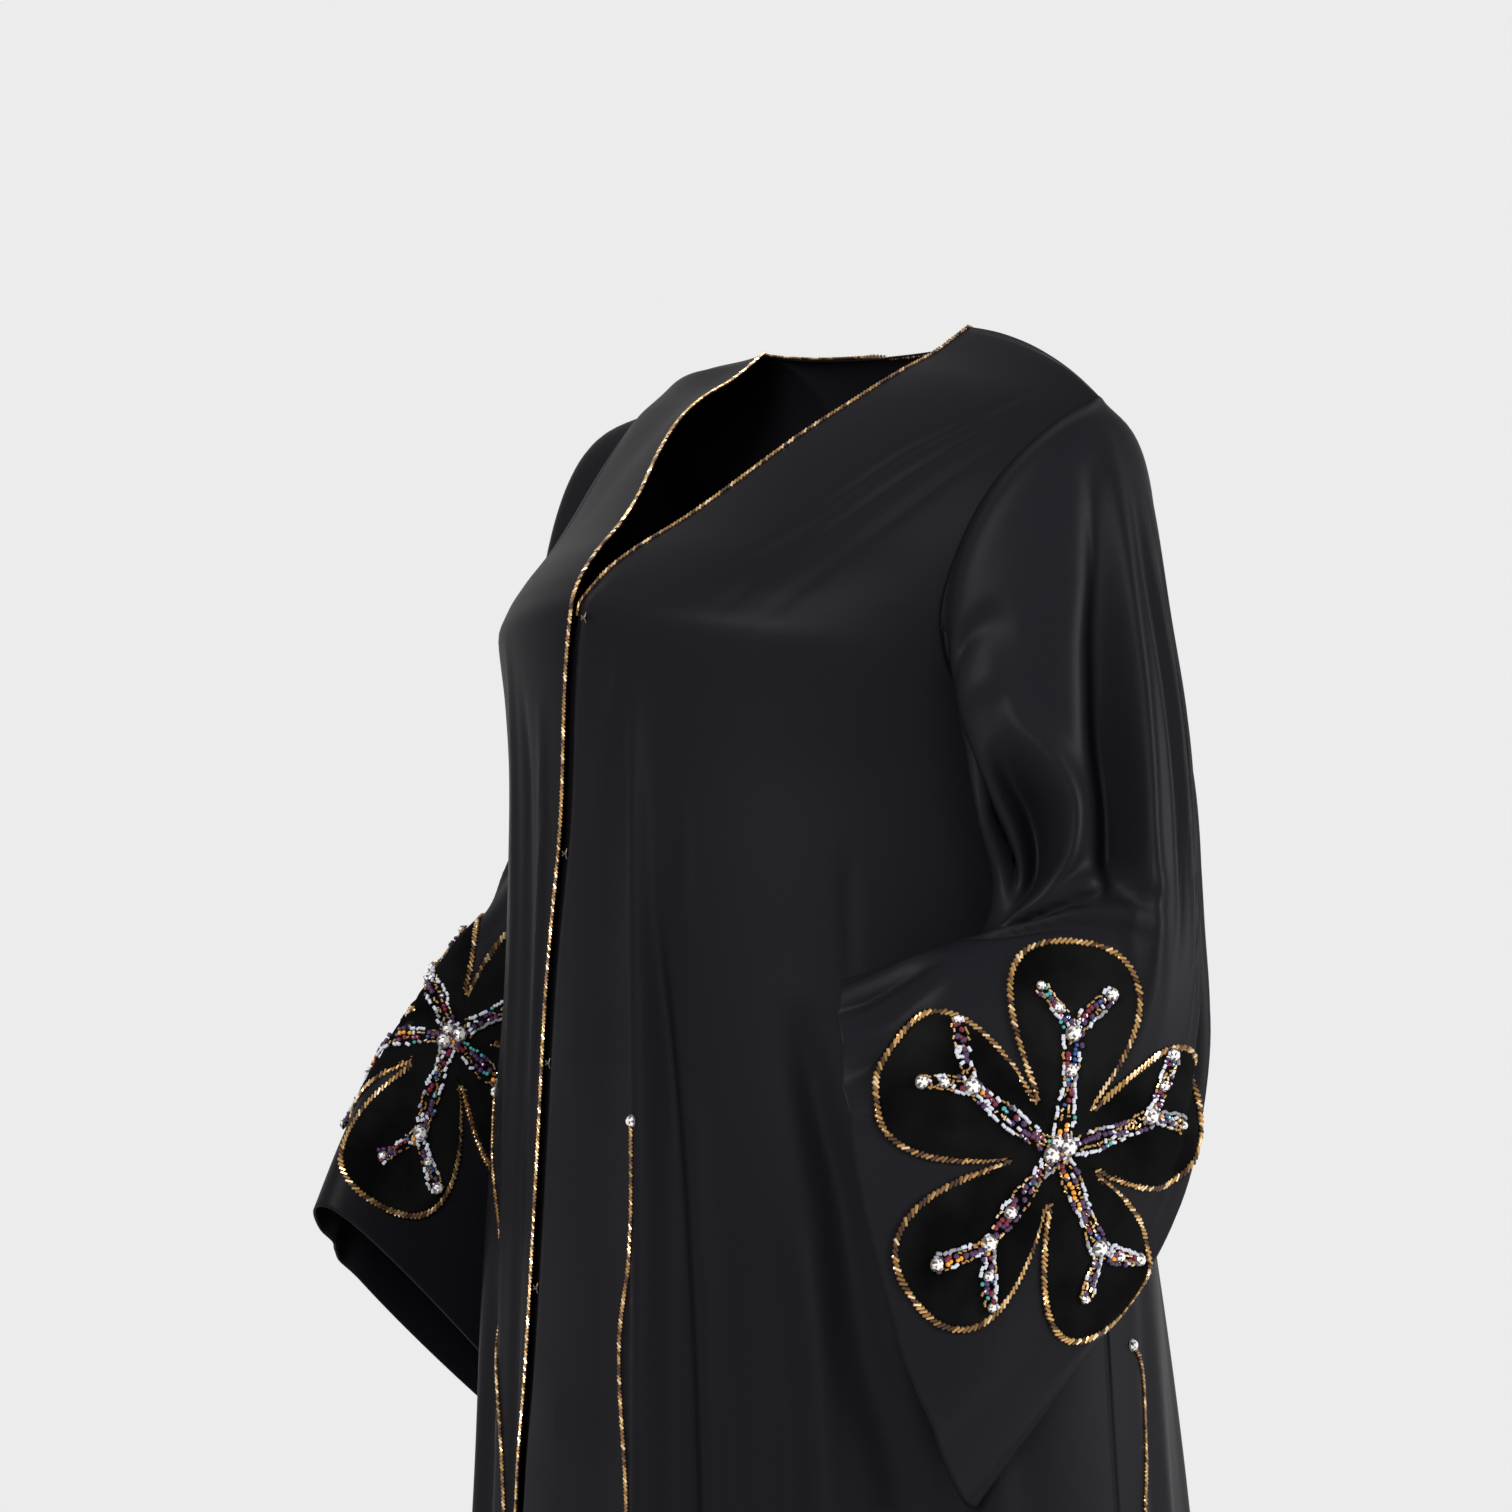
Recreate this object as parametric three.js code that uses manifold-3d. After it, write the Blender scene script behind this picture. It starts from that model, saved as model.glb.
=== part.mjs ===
// A long open-front robe held in its worn shape. Millimetres, +Z up, the wearer's left is +X, the front faces -Y.
// The origin is on the wearer's axis, at the height where the neckline meets the shoulder seams.
import * as THREE from "three";
import Module from "manifold-3d";

const WALL = 1.6; // cloth wall
const SEAM = 0.3; // air between two pieces that are sewn together
const STEEP_LIFT = 0.5; // more of it where the sleeve rises steeply from the panel
const ARMHOLE_GAP = 0.6; // air where a sleeve's edge lies over the armhole's edge
const BODY_Y = 10; // the middle of the body's oval lies this far behind the wearer's axis
const SLEEVE_CLEAR = 5; // sleeve wall to body wall, between their middles
const RIGHT_CLEAR = 11; // the right flower reaches round to the side that faces the body
const ROPE = 3.2; // width of the gold bead rope
const RAD = Math.PI / 180;

const wasm = await Module();
wasm.setup();

const v3 = (x, y, z) => new THREE.Vector3(x, y, z);
const root = new THREE.Group();

// Small maths.

// Smooth curve through a table of numbers that never overshoots them.
function smoothTable(xs, ys) {
  const n = xs.length;
  const slope = [];
  const tangent = [];
  for (let i = 0; i < n - 1; i++) slope.push((ys[i + 1] - ys[i]) / (xs[i + 1] - xs[i]));
  tangent.push(slope[0]);
  for (let i = 1; i < n - 1; i++) {
    const product = slope[i - 1] * slope[i];
    tangent.push(product <= 0 ? 0 : (2 * product) / (slope[i - 1] + slope[i]));
  }
  tangent.push(slope[n - 2]);
  return (x) => {
    if (x <= xs[0]) return ys[0];
    if (x >= xs[n - 1]) return ys[n - 1];
    let i = 0;
    while (x > xs[i + 1]) i++;
    const h = xs[i + 1] - xs[i];
    const t = (x - xs[i]) / h;
    const t2 = t * t;
    const t3 = t2 * t;
    return (
      (2 * t3 - 3 * t2 + 1) * ys[i] +
      (t3 - 2 * t2 + t) * h * tangent[i] +
      (3 * t2 - 2 * t3) * ys[i + 1] +
      (t3 - t2) * h * tangent[i + 1]
    );
  };
}

// Turns rows of numbers with named columns into one smooth curve a column.
function tableCurves(names, rows) {
  const keys = rows.map((row) => row[0]);
  const curves = {};
  names.slice(1).forEach((name, k) => {
    curves[name] = smoothTable(keys, rows.map((row) => row[k + 1]));
  });
  return curves;
}

const mix = (a, b, t) => a + (b - a) * t;
const clamp01 = (t) => Math.min(1, Math.max(0, t));
const ease = (t) => clamp01(t) ** 2 * (3 - 2 * clamp01(t));
const bump = (x, centre, half) => Math.exp(-(((x - centre) / half) ** 2));

// Solids from grids.

function normalsOf(grid, around) {
  const rows = grid.length;
  const cols = grid[0].length;
  return grid.map((row, i) =>
    row.map((_, j) => {
      const up = grid[Math.max(0, i - 1)][j];
      const down = grid[Math.min(rows - 1, i + 1)][j];
      const left = around ? row[(j + cols - 1) % cols] : row[Math.max(0, j - 1)];
      const right = around ? row[(j + 1) % cols] : row[Math.min(cols - 1, j + 1)];
      const across = right.clone().sub(left);
      const along = down.clone().sub(up);
      return across.cross(along).normalize();
    }),
  );
}

const offsetGrid = (grid, normals, distance) =>
  grid.map((row, i) => row.map((p, j) => p.clone().addScaledVector(normals[i][j], distance)));

// One closed body between two grids of the same size; the first faces out.
function solidBetween(outer, inner, around) {
  const rows = outer.length;
  const cols = outer[0].length;
  const points = [];
  for (const grid of [outer, inner]) for (const row of grid) for (const p of row) points.push(p.x, p.y, p.z);
  const at = (side, i, j) => side * rows * cols + i * cols + ((j + cols) % cols);
  const faces = [];
  const quad = (a, b, c, d) => faces.push(a, b, c, a, c, d);
  const lastCol = around ? cols : cols - 1;
  for (let i = 0; i < rows - 1; i++) {
    for (let j = 0; j < lastCol; j++) {
      quad(at(0, i, j), at(0, i, j + 1), at(0, i + 1, j + 1), at(0, i + 1, j));
      quad(at(1, i, j), at(1, i + 1, j), at(1, i + 1, j + 1), at(1, i, j + 1));
    }
  }
  for (let j = 0; j < lastCol; j++) {
    quad(at(1, 0, j), at(1, 0, j + 1), at(0, 0, j + 1), at(0, 0, j));
    quad(at(0, rows - 1, j), at(0, rows - 1, j + 1), at(1, rows - 1, j + 1), at(1, rows - 1, j));
  }
  if (!around) {
    for (let i = 0; i < rows - 1; i++) {
      quad(at(0, i, 0), at(0, i + 1, 0), at(1, i + 1, 0), at(1, i, 0));
      quad(at(1, i, cols - 1), at(1, i + 1, cols - 1), at(0, i + 1, cols - 1), at(0, i, cols - 1));
    }
  }
  const geometry = new THREE.BufferGeometry();
  geometry.setAttribute("position", new THREE.Float32BufferAttribute(points, 3));
  geometry.setIndex(faces);
  return geometry;
}

function signedVolume(geometry) {
  const p = geometry.attributes.position;
  const index = geometry.index.array;
  let sum = 0;
  for (let k = 0; k < index.length; k += 3) {
    const [a, b, c] = [0, 1, 2].map((m) => v3().fromBufferAttribute(p, index[k + m]));
    sum += a.dot(b.cross(c));
  }
  return sum / 6;
}

function facingOut(geometry) {
  if (signedVolume(geometry) > 0) return geometry;
  const index = geometry.index.array;
  for (let k = 0; k < index.length; k += 3) [index[k + 1], index[k + 2]] = [index[k + 2], index[k + 1]];
  return geometry;
}

function addPart(name, geometry) {
  const mesh = new THREE.Mesh(facingOut(geometry));
  mesh.name = name;
  root.add(mesh);
}

function toManifold(geometry) {
  const g = facingOut(geometry);
  const mesh = new wasm.Mesh({
    numProp: 3,
    vertProperties: new Float32Array(g.attributes.position.array),
    triVerts: new Uint32Array(g.index.array),
  });
  return new wasm.Manifold(mesh);
}

function fromManifold(solid) {
  const m = solid.getMesh();
  const points = [];
  for (let i = 0; i < m.numVert; i++) {
    for (let k = 0; k < 3; k++) points.push(m.vertProperties[i * m.numProp + k]);
  }
  const geometry = new THREE.BufferGeometry();
  geometry.setAttribute("position", new THREE.Float32BufferAttribute(points, 3));
  geometry.setIndex([...m.triVerts]);
  return geometry;
}

// The main piece of what is left after a cut.
function largest(solid) {
  const pieces = solid.decompose();
  return pieces.reduce((best, piece) => (piece.volume() > best.volume() ? piece : best));
}

// The body of the robe.

// Front panel by distance p down its inner edge, from the neck point to the hem.
// zIn, xIn: inner edge. zOut, xOut: armhole, then side seam. A, B: half width and depth of the oval there.
// y: where the middle of the oval lies.
const V_POINT = 335;
const UNDERARM = 433;
const FRONT = tableCurves(["p", "zIn", "xIn", "zOut", "xOut", "A", "B", "y"], [
  [0, -3, 104, -57, 222, 227, 0, 30],
  [36, -23, 101, -65, 218, 231, 27, 24],
  [62, -35, 99, -74, 214, 233, 49, 20],
  [92, -50, 93, -87, 209, 233, 71, 16],
  [140, -78, 72, -108, 204, 232, 104, 12],
  [192, -110, 48, -134, 200, 229, 136, 10],
  [229, -131, 34, -156, 198, 226, 161, 10],
  [269, -152, 20, -181, 197, 222, 191, 10],
  [307, -173, 8, -203, 196, 216, 214, 10],
  [335, -191, 0, -222, 196, 212, 225, 10],
  [383, -240, 0, -262, 199, 207, 221, 10],
  [433, -290, 0, -290, 205, 205, 219, 10],
  [488, -345, 0, -345, 209, 209, 218, 10],
  [543, -400, 0, -400, 214, 214, 218, 10],
  [703, -560, 0, -560, 240, 240, 219, 10],
  [903, -760, 0, -760, 258, 258, 222, 10],
  [1243, -1100, 0, -1100, 294, 294, 242, 10],
  [1593, -1450, 0, -1450, 330, 330, 262, 10],
]);
// Where the right front's gold edge runs below the V.
const EDGE = tableCurves(["z", "x"], [
  [-1450, -92],
  [-1100, -84],
  [-750, -73],
  [-677, -63],
  [-537, -49],
  [-437, -40],
  [-317, -20],
  [-240, -12],
  [-191, 0],
]);
const UNDERLAP = 24;
const UNDERLAP_DEPTH = 7;
const LAP_START = 60; // the left edge starts to sink this far above the V

// Back panel by distance p down its middle. xOut: armhole, then side seam.
const BACK = tableCurves(["p", "zIn", "zOut", "xOut", "A", "B"], [
  [0, -8, -57, 222, 227, 62],
  [40, -38, -76, 213, 231, 84],
  [80, -72, -104, 205, 232, 98],
  [130, -115, -142, 199, 229, 108],
  [190, -174, -186, 197, 221, 115],
  [250, -232, -238, 198, 210, 118],
  [312, -290, -290, 205, 205, 121],
  [367, -345, -345, 209, 209, 126],
  [422, -400, -400, 214, 214, 132],
  [582, -560, -560, 240, 240, 156],
  [782, -760, -760, 258, 258, 186],
  [1122, -1100, -1100, 294, 294, 224],
  [1472, -1450, -1450, 330, 330, 262],
]);
const BACK_UNDERARM = 312;
const NECK_SHARE = 0.34; // share of the back's half width that the neckline takes
const NECK = { x: 104, y: 30, z: -3, backDepth: 48, backDrop: 5 };
const ARM_POINT = { x: 222, z: -57 };
const RIGHT_LIFT = 24; // the wearer's right shoulder is held this much higher
const SHOULDER_RISE = 9; // how far the shoulder seam bows up between the neck and the armhole

// Outline of the body at height z below the underarm, used to keep the sleeves clear of it.
const OUTLINE = tableCurves(["z", "A", "front", "back"], [
  [-1450, 330, 262, 262],
  [-1100, 294, 242, 224],
  [-760, 258, 222, 186],
  [-560, 240, 219, 156],
  [-400, 214, 218, 132],
  [-345, 209, 218, 126],
  [-290, 205, 219, 121],
  [-262, 208, 223, 119],
  [-240, 211, 225, 118],
  [-222, 214, 226, 117],
  [-203, 217, 216, 116],
]);

// Folds of the skirt: angle round the body in degrees at a height, depth outwards (below zero for a valley).
const FOLDS = [
  { angle: [-44, -44, -44], half: 20, depth: 9, top: -80, full: -170, low: -0.5 },
  { angle: [14.5, 13.5, 12.5], half: 1.9, depth: 7, top: -205, full: -330 },
  { angle: [17.5, 19.5, 21.5], half: 2.4, depth: -8, top: -330, full: -520 },
  { angle: [33, 34, 36], half: 6, depth: -7, top: -520, full: -900 },
  { angle: [62, 60, 57], half: 7, depth: -9, top: -480, full: -640 },
  { angle: [-30, -31, -33], half: 4, depth: -7, top: -430, full: -700 },
  { angle: [-41, -42, -43], half: 4, depth: 6, top: -430, full: -700 },
  { angle: [-62, -60, -58], half: 7, depth: -9, top: -480, full: -700 },
  { angle: [120, 121, 122], half: 7, depth: -9, top: -560, full: -900 },
  { angle: [150, 150, 150], half: 7, depth: -9, top: -480, full: -900 },
  { angle: [-120, -121, -122], half: 7, depth: -9, top: -560, full: -900 },
  { angle: [-150, -150, -150], half: 7, depth: -9, top: -480, full: -900 },
];

function foldDepth(angle, z) {
  let sum = 0;
  for (const fold of FOLDS) {
    const down = clamp01((fold.top - z) / (fold.top - -1450));
    const [a, b, c] = fold.angle;
    const centre = down < 0.5 ? mix(a, b, down * 2) : mix(b, c, down * 2 - 1);
    const width = fold.half * (1 + 0.5 * down);
    const grow = ease((fold.top - z) / (fold.top - fold.full));
    sum += fold.depth * mix(1, fold.low ?? 1, down) * grow * bump(angle, centre, width);
  }
  return sum;
}

// A point of the oval with its folds. angle in degrees: 0 in front, 90 at the wearer's left, 180 behind.
function ovalPoint(A, B, y, angle, z) {
  const s = Math.sin(angle * RAD);
  const c = Math.cos(angle * RAD);
  const out = v3(s / A, -c / Math.max(B, 1), 0).normalize();
  return v3(A * s, y - B * c, z).addScaledVector(out, foldDepth(angle, z));
}

const FRONT_ROWS = [
  0, 18, 46, 80, 120, 165, 210, 250, 285, 312, 335, 360, 395, 433, 488, 543, 623, 713, 813, 923, 1053, 1183, 1313, 1453,
  1593,
];
const ARMHOLE_ROWS = FRONT_ROWS.indexOf(UNDERARM) + 1;
const BACK_ROWS = [
  0, 18, 45, 80, 115, 150, 185, 215, 245, 270, 292, 312, 367, 422, 500, 590, 690, 800, 930, 1060, 1190, 1330, 1472,
];
const BACK_ARMHOLE_ROWS = BACK_ROWS.indexOf(BACK_UNDERARM) + 1;

// Angles of the left front's columns below the underarm: five for the lap, two for the ridge, the rest even.
const LAP_STEPS = [-UNDERLAP, -9, -1, 6, 16];
const FRONT_ANGLES = [11.8, 14.5, 17.6, 21, 27, 34, 42, 51, 60, 70, 80, 90];

function frontAngles(p, side) {
  const z = FRONT.zIn(p);
  const A = FRONT.A(p);
  const B = FRONT.B(p);
  const outer = p >= UNDERARM ? 90 : Math.asin(FRONT.xOut(p) / A) / RAD;
  if (p >= V_POINT) {
    const edge = EDGE.x(z);
    const opened = ease((p - V_POINT) / 60);
    const steps = side > 0 ? LAP_STEPS : [0, 9, 20, 34, 50];
    const lap = steps.map((step) => {
      const x = side > 0 ? edge + mix(Math.max(0, step + UNDERLAP), step, opened) : -edge + step;
      return Math.asin(x / A) / RAD;
    });
    const rest = FRONT_ANGLES.map((angle) => (angle * outer) / 90);
    const last = lap[lap.length - 1];
    const from = Math.max(rest[0], last + 1.5);
    const squeeze = (from - rest[0]) / (outer - rest[0]);
    return [...lap, ...rest.map((angle) => angle + (outer - angle) * squeeze)];
  }
  const inner = Math.asin(FRONT.xIn(p) / A) / RAD;
  const atV = frontAngles(V_POINT, side);
  const span = atV[atV.length - 1] - atV[0];
  return atV.map((angle) => inner + ((outer - inner) * (angle - atV[0])) / span);
}

// The wearer's right shoulder is higher than the left one; the cloth follows it.
function lifted(point) {
  point.z += RIGHT_LIFT * ease((-point.x - 108) / 105) * ease((point.z + 180) / 120);
  return point;
}

function shoulderHeight(x) {
  const part = clamp01((x - NECK.x) / (ARM_POINT.x - NECK.x));
  return mix(NECK.z, ARM_POINT.z, part) + SHOULDER_RISE * 4 * part * (1 - part);
}

function frontPoint(p, angle, side, share) {
  const A = FRONT.A(p);
  const B = FRONT.B(p);
  const z = mix(FRONT.zIn(p), FRONT.zOut(p), share ** 1.25);
  const point = ovalPoint(A, B, FRONT.y(p), side * angle, z);
  if (p === 0) point.z = shoulderHeight(Math.abs(point.x));
  if (side > 0 && p > V_POINT - LAP_START) {
    const fromEdge = point.x - (p < V_POINT ? FRONT.xIn(p) : EDGE.x(z));
    const opened = ease((p - V_POINT + LAP_START) / 70);
    point.y += UNDERLAP_DEPTH * opened * (1 - ease((fromEdge + 1) / 16));
  }
  return point;
}

function frontGrid(side) {
  return FRONT_ROWS.map((p) => {
    const angles = frontAngles(p, side);
    const first = angles[0];
    const span = angles[angles.length - 1] - first;
    return angles.map((angle) => lifted(frontPoint(p, angle, side, (angle - first) / span)));
  });
}

const BACK_SHARES = [0, 0.1, 0.2, NECK_SHARE, 0.4, 0.5, 0.6, 0.7, 0.8, 0.9, 1];

function backPoint(p, share) {
  const side = Math.sign(share) || 1;
  const part = Math.abs(share);
  const A = BACK.A(p);
  const outer = p >= BACK_UNDERARM ? 90 : Math.asin(BACK.xOut(p) / A) / RAD;
  const angle = 180 - outer * part;
  const z = mix(BACK.zIn(p), BACK.zOut(p), part ** 1.6);
  const full = ovalPoint(A, BACK.B(p), BODY_Y, side * angle, z);
  const settle = ease(p / 115);
  if (settle >= 1) return full;
  // Near the top edge the row leaves the shoulder seam and the back neckline.
  const inNeck = part <= NECK_SHARE;
  const along = inNeck ? part / NECK_SHARE : (part - NECK_SHARE) / (1 - NECK_SHARE);
  const x0 = inNeck ? NECK.x * Math.sin((along * Math.PI) / 2) : mix(NECK.x, ARM_POINT.x, along);
  const depth = inNeck ? NECK.backDepth * Math.cos((along * Math.PI) / 2) : 0;
  const z0 = inNeck ? NECK.z - NECK.backDrop * (1 - along ** 2) : shoulderHeight(x0);
  const top = v3(side * x0, NECK.y + depth, z0);
  const way = Math.sin((clamp01(p / 115) * Math.PI) / 2);
  return v3(mix(top.x, full.x, settle), mix(top.y, full.y, way), mix(top.z, full.z, settle));
}

function backGrid() {
  const shares = [...BACK_SHARES.slice(1).reverse(), ...BACK_SHARES.map((s) => -s)];
  return BACK_ROWS.map((p) => shares.map((part) => lifted(backPoint(p, part))));
}

// Fronts run from the inner edge to the side; turn the left one so that all walls wind the same way round.
const leftFront = frontGrid(1);
const rightFront = frontGrid(-1);
const back = backGrid();
const leftNormals = normalsOf(leftFront, false).map((row) => row.map((n) => n.negate()));
const rightNormals = normalsOf(rightFront, false);
const backNormals = normalsOf(back, false).map((row) => row.map((n) => n.negate()));

function share(normalA, normalB) {
  const common = normalA.clone().add(normalB).normalize();
  normalA.copy(common);
  normalB.copy(common);
}

// Along the armhole the rows run almost beside the edge, so the ovals themselves give the way the cloth faces.
function ovalNormal(normal, point, table, p) {
  const y = (q) => (table.y ? table.y(q) : BODY_Y);
  const level = (q) => (point.x / table.A(q)) ** 2 + ((point.y - y(q)) / table.B(q)) ** 2;
  const fall = (level(p + 4) - level(p - 4)) / (table.zOut(p + 4) - table.zOut(p - 4));
  normal.set((2 * point.x) / table.A(p) ** 2, (2 * (point.y - y(p))) / table.B(p) ** 2, fall).normalize();
}
leftFront.forEach((row, i) => {
  const p = FRONT_ROWS[i];
  if (p < 40 || p >= UNDERARM) return;
  for (const j of [row.length - 2, row.length - 1]) {
    ovalNormal(leftNormals[i][j], row[j], FRONT, p);
    ovalNormal(rightNormals[i][j], rightFront[i][j], FRONT, p);
  }
});
back.forEach((row, i) => {
  const p = BACK_ROWS[i];
  if (p < 100 || p >= BACK_UNDERARM) return;
  for (const j of [0, 1, row.length - 2, row.length - 1]) ovalNormal(backNormals[i][j], row[j], BACK, p);
});

// Seams: both panels take the same normal there, and each edge draws back by half the seam gap.
const lastFront = leftFront[0].length - 1;
const lastBack = back[0].length - 1;
function drawBack(grid, i, j, towards) {
  const away = towards.clone().sub(grid[i][j]).normalize();
  grid[i][j].addScaledVector(away, SEAM / 2 + 0.02);
}
leftFront.forEach((row, i) => {
  if (FRONT_ROWS[i] < UNDERARM) return;
  for (const [grid, normals, sign] of [[leftFront, leftNormals, 1], [rightFront, rightNormals, -1]]) {
    normals[i][lastFront].set(sign, 0, 0.08).normalize();
    drawBack(grid, i, lastFront, grid[i][lastFront - 1]);
  }
});
back.forEach((row, i) => {
  if (BACK_ROWS[i] < BACK_UNDERARM) return;
  backNormals[i][0].set(1, 0, 0.08).normalize();
  backNormals[i][lastBack].set(-1, 0, 0.08).normalize();
  drawBack(back, i, 0, back[i][1]);
  drawBack(back, i, lastBack, back[i][lastBack - 1]);
});
// On a shoulder seam the cloth faces up, square to the seam.
function shoulderNormal(row, j) {
  const before = row[Math.max(0, j - 1)];
  const after = row[Math.min(row.length - 1, j + 1)];
  const n = v3(before.z - after.z, 0, after.x - before.x).normalize();
  return n.z < 0 ? n.negate() : n;
}
for (const [grid, normals] of [[leftFront, leftNormals], [rightFront, rightNormals]]) {
  grid[0].forEach((p, j) => {
    normals[0][j].copy(shoulderNormal(grid[0], j));
    p.y -= SEAM / 2 + 0.02;
  });
}
back[0].forEach((p, j) => {
  if (Math.abs(p.x) < NECK.x - 0.1) return;
  const inNeck = Math.abs(p.x) < NECK.x + 0.1;
  const outer = p.x > 0 ? j - 1 : j + 1;
  const n = inNeck ? shoulderNormal([p, back[0][outer]], 0) : shoulderNormal(back[0], j);
  backNormals[0][j].copy(n);
  p.y += SEAM / 2 + 0.02;
});

function wall(grid, normals, around) {
  return solidBetween(offsetGrid(grid, normals, WALL / 2), offsetGrid(grid, normals, -WALL / 2), around);
}
addPart("front_left", wall(leftFront, leftNormals, false));
addPart("front_right", wall(rightFront, rightNormals, false));
addPart("back", wall(back, backNormals, false));

// Sleeves.

// Each ring hangs on four guide points: L outside, F in front or on top, M next to the body, B behind or below.
// Left sleeve: the forearm comes forward and the wide cuff hangs from the wrist.
const LEFT_RINGS = [
  { L: [243, 16, -72], F: [206, -82, -195], M: [210, 11, -297], B: [211, 72, -195] },
  { L: [257, 16, -112], F: [214, -84, -222], M: [214, 12, -306], B: [228, 62, -228] },
  { L: [268, 18, -172], F: [222, -82, -262], M: [217, 13, -322], B: [244, 56, -275] },
  { L: [279, 22, -245], F: [229, -76, -308], M: [219, 12, -350], B: [256, 58, -335] },
  { L: [288, 20, -320], F: [232, -64, -350], M: [221, 4, -384], B: [260, 60, -405] },
  { L: [292, 10, -388], F: [232, -72, -384], M: [222, -12, -420], B: [264, 62, -478] },
  { L: [290, -20, -446], F: [229, -97, -392], M: [224, -35, -460], B: [262, 50, -556] },
  { L: [282, -66, -494], F: [226, -121, -398], M: [224, -62, -502], B: [258, 20, -613] },
  { L: [269, -112, -528], F: [223, -148, -405], M: [216, -88, -532], B: [255, -22, -652] },
  { L: [256, -152, -550], F: [220, -166, -410], M: [206, -108, -552], B: [248, -62, -690] },
  { L: [246, -183, -562], F: [218, -180, -413], M: [198, -122, -562], B: [236, -96, -730] },
];
// Right sleeve, on its own side: the forearm points further forward and down.
const RIGHT_RINGS = [
  { L: [243, 16, -72], F: [206, -82, -195], M: [210, 11, -297], B: [211, 72, -195] },
  { L: [257, 16, -112], F: [214, -84, -222], M: [214, 12, -306], B: [228, 62, -228] },
  { L: [268, 18, -172], F: [222, -82, -262], M: [217, 13, -322], B: [244, 56, -275] },
  { L: [281, 20, -245], F: [231, -78, -308], M: [220, 12, -350], B: [256, 58, -335] },
  { L: [293, 18, -320], F: [240, -76, -350], M: [222, 4, -384], B: [263, 60, -405] },
  { L: [300, 4, -390], F: [248, -88, -384], M: [225, -14, -424], B: [268, 60, -480] },
  { L: [303, -30, -455], F: [254, -120, -415], M: [228, -45, -475], B: [271, 54, -560] },
  { L: [302, -70, -528], F: [256, -153, -452], M: [230, -82, -532], B: [272, 40, -640] },
  { L: [300, -103, -590], F: [256, -190, -498], M: [231, -118, -580], B: [271, 18, -705] },
  { L: [298, -130, -636], F: [256, -216, -542], M: [231, -145, -618], B: [268, -2, -752] },
  { L: [297, -150, -672], F: [256, -238, -587], M: [230, -166, -650], B: [265, -20, -790] },
];

const SLEEVE_ROWS = 17;
const ringNames = ["L", "F", "M", "B"];

function spline(points, t) {
  const last = points.length - 1;
  const i = Math.min(last - 1, Math.floor(t));
  const f = t - i;
  const at = (k) => points[Math.min(last, Math.max(0, k))];
  const [a, b, c, d] = [at(i - 1), at(i), at(i + 1), at(i + 2)];
  return b
    .clone()
    .multiplyScalar(1 - f)
    .addScaledVector(c, f)
    .add(
      c
        .clone()
        .sub(a)
        .multiplyScalar(0.5 * f * (1 - f) ** 2)
        .addScaledVector(c.clone().sub(b), -f * (1 - f) ** 2)
        .addScaledVector(c.clone().sub(b), f * f * (1 - f))
        .addScaledVector(d.clone().sub(b), -0.5 * f * f * (1 - f)),
    );
}

function clearOfBody(point, clear) {
  if (point.z > -205) return point;
  const A = OUTLINE.A(point.z) + clear;
  const B = (point.y < BODY_Y ? OUTLINE.front(point.z) : OUTLINE.back(point.z)) + clear;
  const far = Math.hypot(point.x / A, (point.y - BODY_Y) / B);
  if (far >= 1) return point;
  point.x /= far;
  point.y = BODY_Y + (point.y - BODY_Y) / far;
  return point;
}

// The armhole as one loop: down the front from the shoulder seam, then up the back.
function armholeLoop(side) {
  const front = side > 0 ? leftFront : rightFront;
  const frontNormals = side > 0 ? leftNormals : rightNormals;
  const col = side > 0 ? 0 : lastBack;
  const points = [];
  const normals = [];
  for (let i = 0; i < ARMHOLE_ROWS; i++) {
    points.push(front[i][lastFront]);
    normals.push(frontNormals[i][lastFront]);
  }
  for (let i = BACK_ARMHOLE_ROWS - 2; i > 0; i--) {
    points.push(back[i][col]);
    normals.push(backNormals[i][col]);
  }
  return { points, normals };
}

function sleeveGrid(side, rings) {
  const loop = armholeLoop(side);
  const count = loop.points.length;
  const under = ARMHOLE_ROWS - 1;
  const lengths = loop.points.map((p, k) => (k ? p.distanceTo(loop.points[k - 1]) : 0));
  const run = lengths.reduce((list, d) => [...list, (list[list.length - 1] || 0) + d], []);
  const total = run[count - 1] + loop.points[count - 1].distanceTo(loop.points[0]);
  const alphas = run.map((d, k) =>
    k <= under ? (180 * d) / run[under] : 180 + (180 * (d - run[under])) / (total - run[under]),
  );
  const edge = loop.points.map((p, k) => {
    const steep = k < 3 || k > under ? STEEP_LIFT : 0.2;
    const raised = p.clone().addScaledVector(loop.normals[k], WALL + ARMHOLE_GAP + steep);
    const guide = ringPoint(rings[0], alphas[k], side);
    const away = guide.sub(p).addScaledVector(loop.normals[k], -guide.dot(loop.normals[k]));
    return raised.addScaledVector(away.normalize(), SEAM + 0.2);
  });
  const curves = alphas.map((alpha, k) => [edge[k], ...rings.map((ring) => ringPoint(ring, alpha, side))]);
  const grid = [];
  for (let i = 0; i < SLEEVE_ROWS; i++) {
    const t = (i / (SLEEVE_ROWS - 1)) * rings.length;
    const clear = side > 0 ? SLEEVE_CLEAR : mix(SLEEVE_CLEAR, RIGHT_CLEAR, ease((t - 2) / 3));
    grid.push(curves.map((curve) => (i ? clearOfBody(spline(curve, t), clear) : curve[0].clone())));
  }
  return { grid, edgeNormals: loop.normals };
}

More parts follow.
